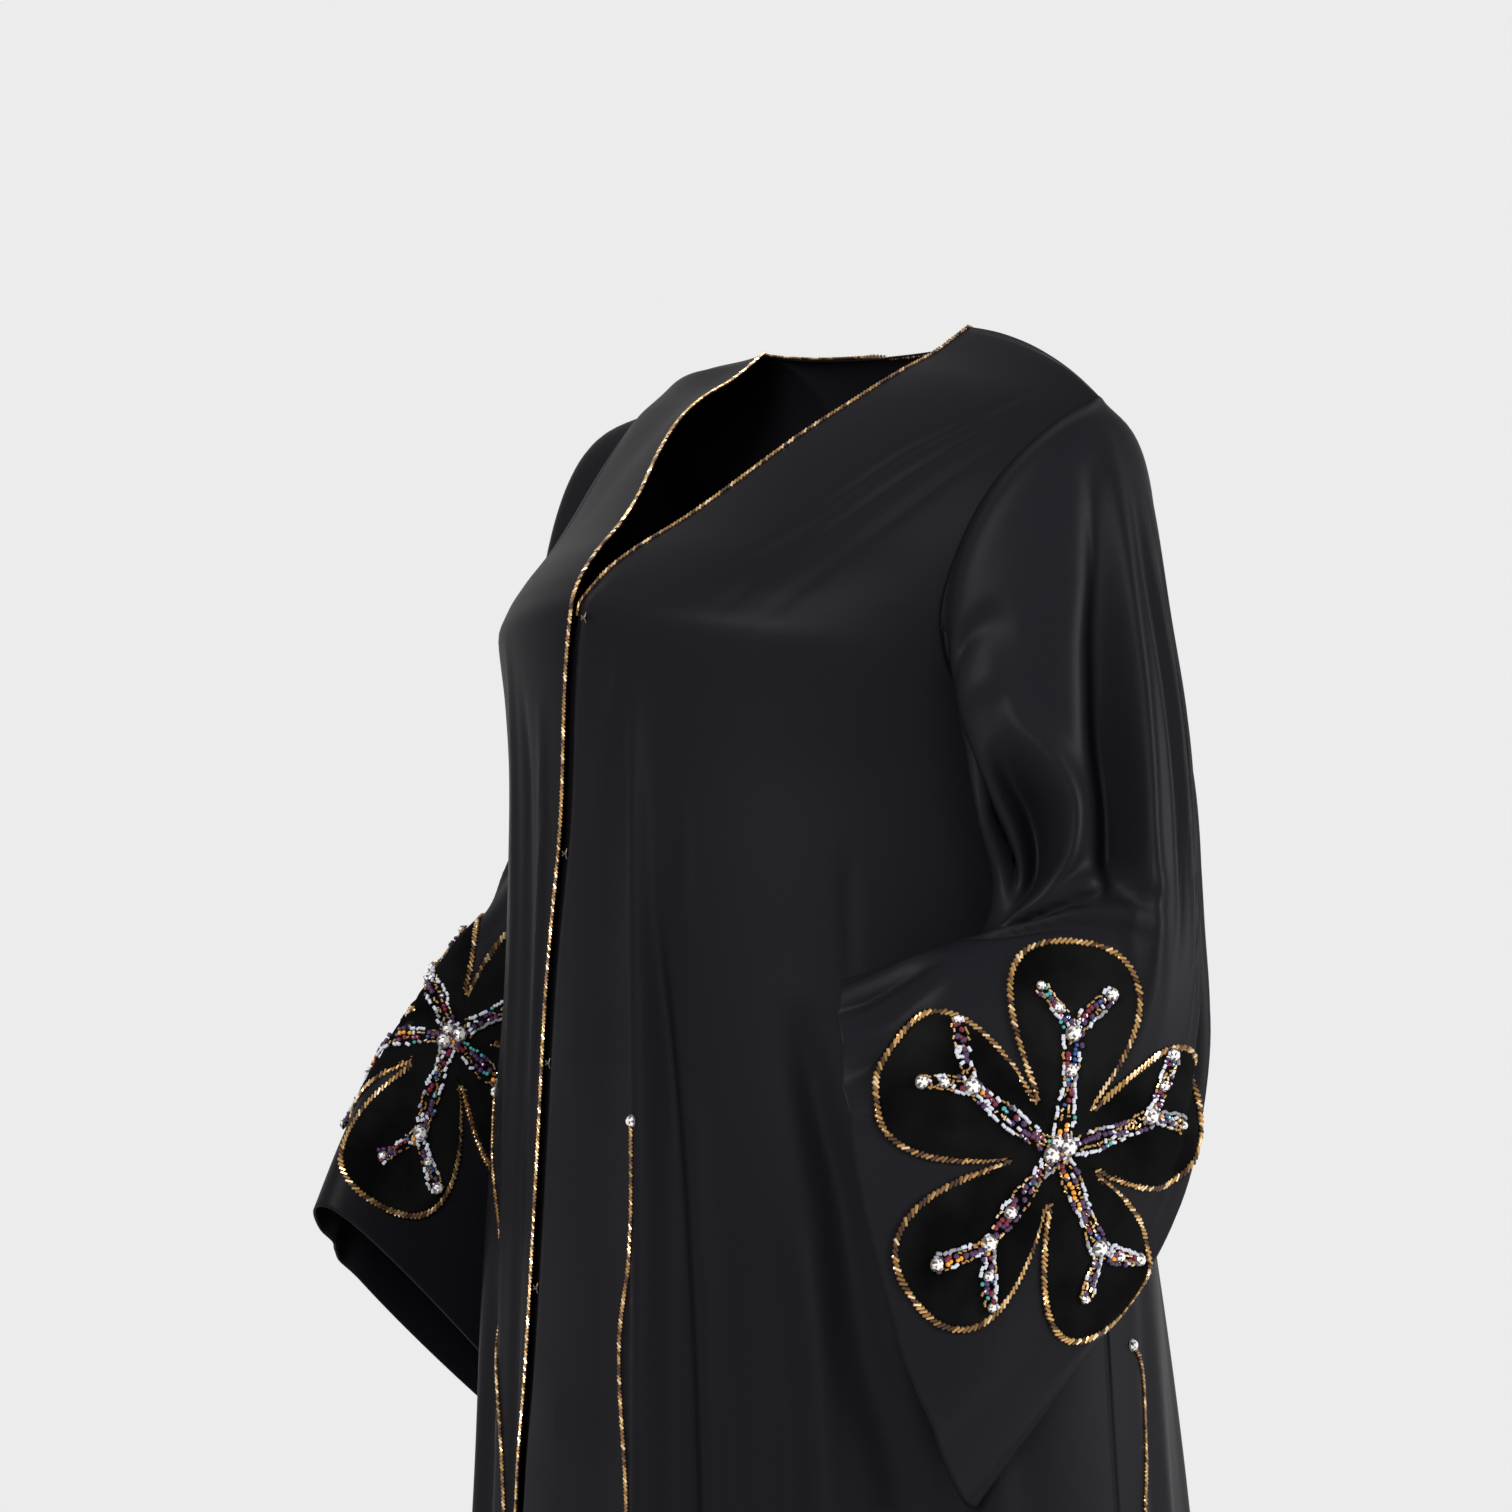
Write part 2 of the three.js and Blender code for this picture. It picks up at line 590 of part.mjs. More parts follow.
// A point of a ring: alpha is 0 outside, 90 in front or on top, 180 next to the body, 270 behind or below.
function ringPoint(ring, alpha, side) {
  const [L, F, M, B] = ringNames.map((name) => v3(side * ring[name][0], ring[name][1], ring[name][2]));
  const centre = L.clone().add(F).add(M).add(B).multiplyScalar(0.25);
  const a1 = L.clone().sub(M).multiplyScalar(0.5);
  const b1 = F.clone().sub(B).multiplyScalar(0.5);
  const a2 = L.clone().add(M).sub(F).sub(B).multiplyScalar(0.25);
  centre
    .addScaledVector(a1, Math.cos(alpha * RAD))
    .addScaledVector(b1, Math.sin(alpha * RAD))
    .addScaledVector(a2, Math.cos(2 * alpha * RAD));
  return lifted(centre);
}

const sleeves = {};
for (const [name, side, rings] of [["left", 1, LEFT_RINGS], ["right", -1, RIGHT_RINGS]]) {
  const { grid, edgeNormals } = sleeveGrid(side, rings);
  const normals = normalsOf(grid, true).map((row) => row.map((n) => n.multiplyScalar(side)));
  // At the armhole the wall turns from the panel's way of facing to the sleeve's own.
  normals[0].forEach((n, j) => n.add(edgeNormals[j]).normalize());
  sleeves[name] = { grid, normals, side };
  addPart("sleeve_" + name, wall(grid, normals, true));
}

// Pieces laid on the cloth.

// A point over the faceted cloth at grid place (i, j), so far off its middle surface.
function over(cloth, i, j, distance) {
  const { grid, normals, around } = cloth;
  const rows = grid.length;
  const cols = grid[0].length;
  const i0 = Math.min(rows - 2, Math.max(0, Math.floor(i)));
  const j0 = around ? Math.floor(j) : Math.min(cols - 2, Math.max(0, Math.floor(j)));
  const at = (list, di, dj) => list[i0 + di][around ? (((j0 + dj) % cols) + cols) % cols : j0 + dj];
  const blend = (list) => {
    const [fi, fj] = [i - i0, j - j0];
    const top = at(list, 0, 0).clone().lerp(at(list, 0, 1), fj);
    const low = at(list, 1, 0).clone().lerp(at(list, 1, 1), fj);
    return top.lerp(low, fi);
  };
  return blend(grid).addScaledVector(blend(normals).normalize(), distance);
}

function normalAt(cloth, i, j) {
  return over(cloth, i, j, 1).sub(over(cloth, i, j, 0)).normalize();
}

function nearest(cloth, target) {
  let best = { d: Infinity };
  const rows = cloth.grid.length;
  const cols = cloth.grid[0].length;
  for (let i = 0; i < rows - 1; i += 0.1) {
    for (let j = 0; j < cols; j += 0.1) {
      const d = over(cloth, i, j, 0).distanceTo(target);
      if (d < best.d) best = { d, i, j };
    }
  }
  return best;
}

// Walks over the cloth from a place, in a direction that stays straight on it; returns the places passed.
function walk(cloth, from, direction, distances) {
  let place = { i: from.i, j: from.j };
  let heading = direction.clone();
  const passed = [];
  let gone = 0;
  const limit = cloth.grid.length - 1 - CUFF_MARGIN;
  for (const distance of distances) {
    while (gone < distance - 1e-6) {
      const step = Math.min(4, distance - gone);
      const next = shift(cloth, place, heading.clone().multiplyScalar(step));
      if (next.i > limit || next.i < 1) break;
      place = next;
      const normal = normalAt(cloth, place.i, place.j);
      heading.addScaledVector(normal, -heading.dot(normal)).normalize();
      gone += step;
    }
    passed.push({ ...place });
    gone = distance;
  }
  return { passed, heading };
}

const CUFF_MARGIN = 0.4; // rows of the sleeve left free at the cuff
const FLOWER = {
  radius: 126,
  notch: 0.32, // where two petals part, as a share of the radius
  directions: [8, 80, 152, 224, 296],
  bottom: WALL / 2 + SEAM,
  thick: 2.2,
};
const SPRAY = { fork: 0.56, arm: 0.34, spread: 34, half: 5.5, thick: 2.2 };
const PETAL_STEPS = [-36, -31.5, -25, -14, 0, 14, 25, 31.5];
const RING_SHARES = [0.3, 0.65, 1];

function petalReach(off) {
  return FLOWER.notch + (1 - FLOWER.notch) * (1 - Math.abs(off / 36) ** 3.4) ** 0.6;
}

// Directions on the cloth at a place: right and up as seen from outside.
function compass(cloth, place) {
  const normal = normalAt(cloth, place.i, place.j);
  const up = v3(0, 0, 1).addScaledVector(normal, -normal.z).normalize();
  const right = up.clone().cross(normal);
  return (angle) => right.clone().multiplyScalar(Math.cos(angle * RAD)).addScaledVector(up, Math.sin(angle * RAD));
}

// A closed body from a fan of rays: a middle point and rings of places.
function fanBody(cloth, centre, rays, low, high) {
  const rings = rays[0].length;
  const points = [];
  const push = (p) => points.push(p.x, p.y, p.z) / 3 - 1;
  const middle = [high, low].map((d) => push(over(cloth, centre.i, centre.j, d)));
  const at = [high, low].map((d) => rays.map((ray) => ray.map((place) => push(over(cloth, place.i, place.j, d)))));
  const faces = [];
  const n = rays.length;
  for (let k = 0; k < n; k++) {
    const m = (k + 1) % n;
    for (const side of [0, 1]) {
      const tri = (a, b, c) => (side ? faces.push(a, c, b) : faces.push(a, b, c));
      tri(middle[side], at[side][k][0], at[side][m][0]);
      for (let r = 0; r < rings - 1; r++) {
        tri(at[side][k][r], at[side][k][r + 1], at[side][m][r + 1]);
        tri(at[side][k][r], at[side][m][r + 1], at[side][m][r]);
      }
    }
    const last = rings - 1;
    faces.push(at[0][k][last], at[1][k][last], at[1][m][last]);
    faces.push(at[0][k][last], at[1][m][last], at[0][m][last]);
  }
  const geometry = new THREE.BufferGeometry();
  geometry.setAttribute("position", new THREE.Float32BufferAttribute(points, 3));
  geometry.setIndex(faces);
  return geometry;
}

// The place reached from another one by a small step over the cloth.
function shift(cloth, place, step) {
  const h = 0.02;
  const di = over(cloth, place.i + h, place.j, 0).sub(over(cloth, place.i - h, place.j, 0)).divideScalar(2 * h);
  const dj = over(cloth, place.i, place.j + h, 0).sub(over(cloth, place.i, place.j - h, 0)).divideScalar(2 * h);
  const [a, b, c] = [di.dot(di), di.dot(dj), dj.dot(dj)];
  const [u, v] = [step.dot(di), step.dot(dj)];
  const det = a * c - b * b;
  return { i: place.i + (c * u - b * v) / det, j: place.j + (a * v - b * u) / det };
}

// A strip of given half width along places on the cloth.
function stripBody(cloth, places, halfWidth, low, high) {
  const outer = [];
  const inner = [];
  places.forEach((place, k) => {
    const before = places[Math.max(0, k - 1)];
    const after = places[Math.min(places.length - 1, k + 1)];
    const ahead = over(cloth, after.i, after.j, 0).sub(over(cloth, before.i, before.j, 0)).normalize();
    const across = normalAt(cloth, place.i, place.j).cross(ahead).normalize();
    const sides = [1, -1].map((s) => shift(cloth, place, across.clone().multiplyScalar(s * halfWidth)));
    outer.push(sides.map((at) => over(cloth, at.i, at.j, high)));
    inner.push(sides.map((at) => over(cloth, at.i, at.j, low)));
  });
  return solidBetween(outer, inner, false);
}

function flowerOn(name, target) {
  const { grid, normals, side } = sleeves[name];
  const cloth = { grid, normals, around: true };
  const centre = nearest(cloth, target);
  const toward = compass(cloth, centre);
  const turn = (angle) => (side > 0 ? angle : 180 - angle);
  const rays = (scale) =>
    FLOWER.directions.flatMap((direction) =>
      PETAL_STEPS.map((off) => {
        const reach = FLOWER.radius * petalReach(off) * scale;
        const distances = RING_SHARES.map((part) => part * reach);
        return walk(cloth, centre, toward(turn(direction + off)), distances).passed;
      }),
    );
  const top = FLOWER.bottom + FLOWER.thick;
  const grown = toManifold(
    solidBetween(offsetGrid(grid, normals, FLOWER.bottom), offsetGrid(grid, normals, -10), true),
  );
  const velvet = toManifold(fanBody(cloth, centre, rays(1), -2.5, top)).subtract(grown);
  addPart("flower_" + name, fromManifold(largest(velvet)));

  // Forked sprays: one stalk and two arms for each petal, joined in the middle.
  const keepOut = toManifold(fanBody(cloth, centre, rays(1), -4, top + SEAM + 0.3));
  const [low, high] = [0.5, top + SEAM + SPRAY.thick];
  let sprays = toManifold(fanBody(cloth, centre, hub(cloth, centre, toward), low, high));
  for (const direction of FLOWER.directions) {
    const angle = turn(direction);
    const fork = SPRAY.fork * FLOWER.radius;
    const stalk = walk(cloth, centre, toward(angle), [2, fork / 2, fork]);
    sprays = sprays.add(toManifold(stripBody(cloth, stalk.passed, SPRAY.half, low, high)));
    for (const sign of [-1, 1]) {
      const start = stalk.passed[2];
      const normal = normalAt(cloth, start.i, start.j);
      const heading = stalk.heading.clone().applyAxisAngle(normal, sign * SPRAY.spread * RAD);
      const arm = walk(cloth, start, heading, [0.1, (SPRAY.arm * FLOWER.radius) / 2, SPRAY.arm * FLOWER.radius]);
      sprays = sprays.add(toManifold(stripBody(cloth, arm.passed, SPRAY.half * 0.8, low, high)));
    }
  }
  addPart("beadwork_" + name, fromManifold(largest(sprays.subtract(keepOut).subtract(grown))));
}

function hub(cloth, centre, toward) {
  return [0, 60, 120, 180, 240, 300].map((angle) => walk(cloth, centre, toward(angle), [9]).passed);
}

flowerOn("left", v3(288, -69, -515));
flowerOn("right", v3(-236, -142, -476));

// Bead rope on the edges.

// A rope of square section beside a row of edge points, on the side away from the cloth.
function ropeBeside(points, normals, sign, size) {
  const sections = points.map((p, k) => {
    const before = points[Math.max(0, k - 1)];
    const after = points[Math.min(points.length - 1, k + 1)];
    const along = after.clone().sub(before).normalize();
    const out = along.clone().cross(normals[k]).normalize().multiplyScalar(sign);
    const up = out.clone().cross(along).normalize();
    const middle = p.clone().addScaledVector(out, size / 2 + SEAM + 0.05);
    const h = size / 2;
    return [[1, 1], [1, -1], [-1, -1], [-1, 1]].map(([a, b]) =>
      middle.clone().addScaledVector(out, a * h).addScaledVector(up, b * h),
    );
  });
  return tubeBody(sections);
}

function tubeBody(sections) {
  const n = sections[0].length;
  const points = sections.flat().flatMap((p) => [p.x, p.y, p.z]);
  const faces = [];
  for (let i = 0; i < sections.length - 1; i++) {
    for (let j = 0; j < n; j++) {
      const [a, b] = [i * n + j, i * n + ((j + 1) % n)];
      faces.push(a, b, b + n, a, b + n, a + n);
    }
  }
  const end = (sections.length - 1) * n;
  for (let j = 1; j < n - 1; j++) faces.push(0, j + 1, j, end, end + j, end + j + 1);
  const geometry = new THREE.BufferGeometry();
  geometry.setAttribute("position", new THREE.Float32BufferAttribute(points, 3));
  geometry.setIndex(faces);
  return geometry;
}

const vRow = FRONT_ROWS.indexOf(V_POINT);
const column = (grid, from, to, j) => grid.slice(from, to + 1).map((row) => row[j].clone());

function shorten(points, atStart, atEnd) {
  const list = points.map((p) => p.clone());
  const last = list.length - 1;
  list[0].addScaledVector(list[1].clone().sub(list[0]).normalize(), atStart);
  list[last].addScaledVector(list[last - 1].clone().sub(list[last]).normalize(), atEnd);
  return list;
}

const END_GAP = 1.2;
const NECK_GAP = 3.4; // the ropes turn a corner where they meet at the shoulder seam
addPart(
  "trim_neck_left",
  ropeBeside(shorten(column(leftFront, 0, vRow, 0), NECK_GAP, END_GAP), column(leftNormals, 0, vRow, 0), 1, ROPE),
);
addPart(
  "trim_neck_right",
  ropeBeside(shorten(column(rightFront, 0, vRow, 0), NECK_GAP, END_GAP), column(rightNormals, 0, vRow, 0), -1, ROPE),
);
const hemRow = FRONT_ROWS.length - 1;
addPart(
  "trim_front_edge",
  ropeBeside(
    shorten(column(rightFront, vRow, hemRow, 0), END_GAP, 1),
    column(rightNormals, vRow, hemRow, 0),
    -1,
    ROPE,
  ),
);
const neckCols = back[0].map((p, j) => j).filter((j) => Math.abs(back[0][j].x) < NECK.x + 0.5);
addPart(
  "trim_neck_back",
  ropeBeside(
    shorten(neckCols.map((j) => back[0][j].clone()), END_GAP, END_GAP),
    neckCols.map((j) => backNormals[0][j].clone()),
    -1,
    ROPE,
  ),
);

// Gold stems on the skirt, each with one stone at its top.

const STEM = { half: 2, low: -2, high: 3.2, stone: 4.5, stoneHigh: 7 };
const leftCloth = { grid: leftFront, normals: leftNormals, around: false };
const rightCloth = { grid: rightFront, normals: rightNormals, around: false };
const backCloth = { grid: back, normals: backNormals, around: false };

// Where a stem crosses each row of a panel, from its top height down to the hem.
function stemPlaces(cloth, top, xAt) {
  const places = [];
  const rows = cloth.grid.length;
  for (let i = 0; i < rows; i++) {
    const z = cloth.grid[i][0].z;
    const next = cloth.grid[Math.min(rows - 1, i + 1)][0].z;
    if (z > top && next < top) places.push(crossing(cloth, i + (z - top) / (z - next), xAt(top)));
    if (z <= top) places.push(crossing(cloth, i, xAt(z)));
    if (z <= top && i < rows - 1) places.push(crossing(cloth, i + 0.5, xAt((z + next) / 2)));
  }
  places[places.length - 1].i -= 0.02;
  return places;
}

function crossing(cloth, i, x) {
  const cols = cloth.grid[0].length;
  let best = { d: Infinity };
  for (let j = 0; j <= cols - 1; j += 0.01) {
    const d = Math.abs(over(cloth, Math.min(i, cloth.grid.length - 1), j, 0).x - x);
    if (d < best.d) best = { d, i, j };
  }
  return best;
}

function addStem(name, cloth, top, xAt) {
  const places = stemPlaces(cloth, top, xAt);
  const rope = toManifold(stripBody(cloth, places, STEM.half, STEM.low, STEM.high));
  const seat = over(cloth, places[0].i, places[0].j, 1);
  const stone = new THREE.CylinderGeometry(STEM.stone, STEM.stone, STEM.stoneHigh, 8);
  stone.deleteAttribute("normal");
  stone.deleteAttribute("uv");
  const turned = new THREE.Quaternion().setFromUnitVectors(v3(0, 1, 0), normalAt(cloth, places[0].i, places[0].j));
  stone.applyQuaternion(turned).translate(seat.x, seat.y, seat.z);
  const solid = new wasm.Mesh({
    numProp: 3,
    vertProperties: new Float32Array(stone.attributes.position.array),
    triVerts: new Uint32Array(stone.index.array),
  });
  solid.merge();
  const { grid, normals } = cloth;
  const grown = solidBetween(offsetGrid(grid, normals, WALL / 2 + SEAM), offsetGrid(grid, normals, -12), false);
  addPart(name, fromManifold(largest(rope.add(new wasm.Manifold(solid)).subtract(toManifold(grown)))));
}

const LEFT_STEM = tableCurves(["z", "x"], [
  [-1450, 66],
  [-1100, 40],
  [-900, 62],
  [-738, 52],
  [-652, 43],
  [-560, 55],
  [-498, 54],
]);
const RIGHT_STEM = tableCurves(["z", "x"], [
  [-1450, -120],
  [-1100, -128],
  [-900, -98],
  [-780, -96],
  [-690, -108],
  [-600, -128],
  [-500, -158],
]);
const SIDE_STEM = tableCurves(["z", "x"], [
  [-1450, 321],
  [-1100, 288],
  [-900, 264],
  [-757, 255],
  [-702, 246],
  [-671, 242],
  [-640, 247],
]);
addStem("stem_front_left", leftCloth, -500, LEFT_STEM.x);
addStem("stem_front_right", rightCloth, -500, RIGHT_STEM.x);
addStem("stem_side_left", backCloth, -641, SIDE_STEM.x);
addStem("stem_side_right", backCloth, -641, (z) => -SIDE_STEM.x(z));

// Hooks in the groove of the lap.

const HOOK_HEIGHTS = [-196, -343, -477, -622];
const HOOK_COLUMNS = [1.35, 3.2, 3.2, 3.2];
HOOK_HEIGHTS.forEach((height, k) => {
  const i = leftFront.findIndex((row, r) => r > vRow - 1 && row[3].z < height);
  const [above, below] = [leftFront[i - 1][3].z, leftFront[i][3].z];
  const row = i - 1 + (above - height) / (above - below);
  const places = [-0.04, 0.04].map((d) => ({ i: row + d, j: HOOK_COLUMNS[k] }));
  addPart("hook_" + (k + 1), stripBody(leftCloth, places, 1.6, WALL / 2 + 0.9, WALL / 2 + 2.6));
});

export default root;
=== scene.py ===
"""A long open-front robe held in its worn shape, with velvet flowers and beadwork, on a pale floor.

The sizes are those of the part's solids, in millimetres. The origin is where the wearer's shoulders carry it.
Each cloth piece is a finer skin with its own folds, and stands for the plain solid of the same shape.
"""

import math

import bpy
import numpy as np
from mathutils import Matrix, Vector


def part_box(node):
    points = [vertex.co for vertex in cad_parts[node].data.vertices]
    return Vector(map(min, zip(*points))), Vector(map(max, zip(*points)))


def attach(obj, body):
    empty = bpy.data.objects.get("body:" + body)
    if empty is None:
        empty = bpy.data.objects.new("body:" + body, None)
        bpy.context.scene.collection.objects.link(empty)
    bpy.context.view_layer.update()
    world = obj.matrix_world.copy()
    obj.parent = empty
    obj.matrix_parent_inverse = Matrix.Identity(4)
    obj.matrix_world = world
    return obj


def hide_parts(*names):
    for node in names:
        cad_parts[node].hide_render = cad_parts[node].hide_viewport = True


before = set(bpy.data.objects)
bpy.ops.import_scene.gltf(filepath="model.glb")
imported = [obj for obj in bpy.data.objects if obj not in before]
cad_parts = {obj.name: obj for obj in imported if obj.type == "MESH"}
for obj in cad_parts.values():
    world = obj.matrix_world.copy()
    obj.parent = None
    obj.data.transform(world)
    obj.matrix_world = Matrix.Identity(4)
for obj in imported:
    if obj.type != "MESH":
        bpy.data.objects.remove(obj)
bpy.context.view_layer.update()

MM = 0.001
WALL = 1.6  # cloth thickness
rng = np.random.default_rng(7)

# Camera: turned round the robe by degrees from straight ahead, level, as in the photo.
CAMERA_TURN = 50
CAMERA_DISTANCE = 2400
CAMERA_SIDE = -48.7
CAMERA_HEIGHT = -281
FOCAL_PIXELS = 3600
PHOTO_PIXELS = 1512
SENSOR = 36

BACKGROUND = (0.84, 0.84, 0.842)
FLOOR_Z = -1500
FLOOR_RADIUS = 3000
FLOOR_SIDES = 96


# Small maths.


def smooth_curve(xs, ys):
    """A smooth curve through a table of numbers that never overshoots them."""
    xs, ys = np.array(xs, float), np.array(ys, float)
    slope = np.diff(ys) / np.diff(xs)
    product = slope[:-1] * slope[1:]
    total = slope[:-1] + slope[1:]
    inner = np.where(product > 0, 2 * product / np.where(total == 0, 1, total), 0)
    tangent = np.concatenate([slope[:1], inner, slope[-1:]])

    def at(x):
        x = np.clip(x, xs[0], xs[-1])
        i = np.clip(np.searchsorted(xs, x, side="right") - 1, 0, len(xs) - 2)
        h = xs[i + 1] - xs[i]
        t = (x - xs[i]) / h
        return (
            (2 * t**3 - 3 * t**2 + 1) * ys[i]
            + (t**3 - 2 * t**2 + t) * h * tangent[i]
            + (3 * t**2 - 2 * t**3) * ys[i + 1]
            + (t**3 - t**2) * h * tangent[i + 1]
        )

    return at


def table(names, rows):
    """One smooth curve a column, by the first column."""
    columns = list(zip(*rows))
    return {name: smooth_curve(columns[0], columns[k + 1]) for k, name in enumerate(names[1:])}


def mix(a, b, t):
    """The value a share t of the way from a to b."""
    return a + (b - a) * t


def ease(t):
    """A smooth step from 0 to 1."""
    t = np.clip(t, 0, 1)
    return t * t * (3 - 2 * t)


def bump(x, centre, half):
    """A rise of 1 at the centre that fades out on both sides."""
    return np.exp(-(((x - centre) / half) ** 2))


def unit(v):
    return v / np.maximum(np.linalg.norm(v, axis=-1, keepdims=True), 1e-9)


# The cloth, from the same tables as the solids.

# Oval of the body below the underarm: height, half width, depth in front and behind.
UNDERARM_Z = -290
HEM_Z = -1450
BELOW = [
    (UNDERARM_Z, 205, 219, 121),
    (-345, 209, 218, 126),
    (-400, 214, 218, 132),
    (-560, 240, 219, 156),
    (-760, 258, 222, 186),
    (-1100, 294, 242, 224),
    (HEM_Z, 330, 262, 262),
]
BODY_Y = 10

# Front panel by distance p down its inner edge, from the neck point to the hem.
# zIn, xIn: inner edge. zOut, xOut: armhole, then side seam. A, B: half width and depth. y: the oval's middle.
V_POINT = 335
UNDERARM = 433
HEM = UNDERARM + UNDERARM_Z - HEM_Z
FRONT = table(
    ["p", "zIn", "xIn", "zOut", "xOut", "A", "B", "y"],
    [
        (0, -3, 104, -57, 222, 227, 0, 30),
        (36, -23, 101, -65, 218, 231, 27, 24),
        (62, -35, 99, -74, 214, 233, 49, 20),
        (92, -50, 93, -87, 209, 233, 71, 16),
        (140, -78, 72, -108, 204, 232, 104, 12),
        (192, -110, 48, -134, 200, 229, 136, BODY_Y),
        (229, -131, 34, -156, 198, 226, 161, BODY_Y),
        (269, -152, 20, -181, 197, 222, 191, BODY_Y),
        (307, -173, 8, -203, 196, 216, 214, BODY_Y),
        (V_POINT, -191, 0, -222, 196, 212, 225, BODY_Y),
        (383, -240, 0, -262, 199, 207, 221, BODY_Y),
        *[(UNDERARM + UNDERARM_Z - z, z, 0, z, A, A, B, BODY_Y) for z, A, B, _ in BELOW],
    ],
)
# Where the right front's gold edge runs below the V.
EDGE = table(
    ["z", "x"],
    [(-1450, -92), (-1100, -84), (-750, -73), (-677, -63), (-537, -49)]
    + [(-437, -40), (-317, -20), (-240, -12), (-191, 0)],
)
# The left front runs on under the right one.
UNDERLAP = 24
UNDERLAP_DEPTH = 7
UNDERLAP_FADE = 16  # the panel is back at its own level this far from the edge
LAP_START = 60  # the edge starts to sink this far above the V
LAP_SINK = 70  # and is down this much further on
LAP_OPENS = 60  # the lap's columns take this far below the V to part
LAP_SPACE = 1.5  # degrees from the lap to the panel's next column
# Columns of the lap, in mm from the gold edge, on the left and on the right.
LAP_STEPS = {1: np.array([-UNDERLAP, -9, -1, 6, 16]), -1: np.array([0, 9, 20, 34, 50])}
FRONT_ANGLES = np.array([11.8, 14.5, 17.6, 21, 27, 34, 42, 51, 60, 70, 80, 90])
FRONT_TILT = 1.25  # how late a row leaves its level on the way out

# Back panel by distance p down its middle.
BACK_UNDERARM = 312
BACK_HEM = BACK_UNDERARM + UNDERARM_Z - HEM_Z
BACK_SETTLE = 115  # the rows have left the shoulder seam this far down
BACK_TILT = 1.6
BACK = table(
    ["p", "zIn", "zOut", "xOut", "A", "B"],
    [
        (0, -8, -57, 222, 227, 62),
        (40, -38, -76, 213, 231, 84),
        (80, -72, -104, 205, 232, 98),
        (130, -115, -142, 199, 229, 108),
        (190, -174, -186, 197, 221, 115),
        (250, -232, -238, 198, 210, 118),
        *[(BACK_UNDERARM + UNDERARM_Z - z, z, z, A, A, B) for z, A, _, B in BELOW],
    ],
)
NECK_SHARE = 0.34
NECK = {"x": 104, "y": 30, "z": -3, "back_depth": 48, "back_drop": 5}
ARM_POINT = {"x": 222, "z": -57}
SHOULDER_RISE = 9
# The right shoulder is higher: the lift grows outwards, and fades down to the low height.
RIGHT_LIFT = {"by": 24, "from": 108, "over": 105, "low": -180, "height": 120}

# Outline of the body at height z, used to keep the sleeves clear of it.
OUTLINE = table(
    ["z", "A", "front", "back"],
    [
        *reversed(BELOW),
        (-262, 208, 223, 119),
        (-240, 211, 225, 118),
        (-222, 214, 226, 117),
        (-203, 217, 216, 116),
    ],
)

# Broad folds of the body: angle round it in degrees at the top, middle and hem, half width, depth outwards,
# the heights where the fold starts and is full, and the share of it left at the hem.
BROAD_FOLDS = [
    ((-44, -44, -44), 20, 9, -80, -170, -0.5),
    ((14.5, 13.5, 12.5), 1.9, 7, -205, -330, 1),
    ((17.5, 19.5, 21.5), 2.4, -8, -330, -520, 1),
    ((33, 34, 36), 6, -7, -520, -900, 1),
    ((62, 60, 57), 7, -9, -480, -640, 1),
    ((-30, -31, -33), 4, -7, -430, -700, 1),
    ((-41, -42, -43), 4, 6, -430, -700, 1),
    ((-62, -60, -58), 7, -9, -480, -700, 1),
    ((120, 121, 122), 7, -9, -560, -900, 1),
    ((150, 150, 150), 7, -9, -480, -900, 1),
    ((-120, -121, -122), 7, -9, -560, -900, 1),
    ((-150, -150, -150), 7, -9, -480, -900, 1),
]
WIDEN = 0.5  # a broad fold is wider by this share at the hem

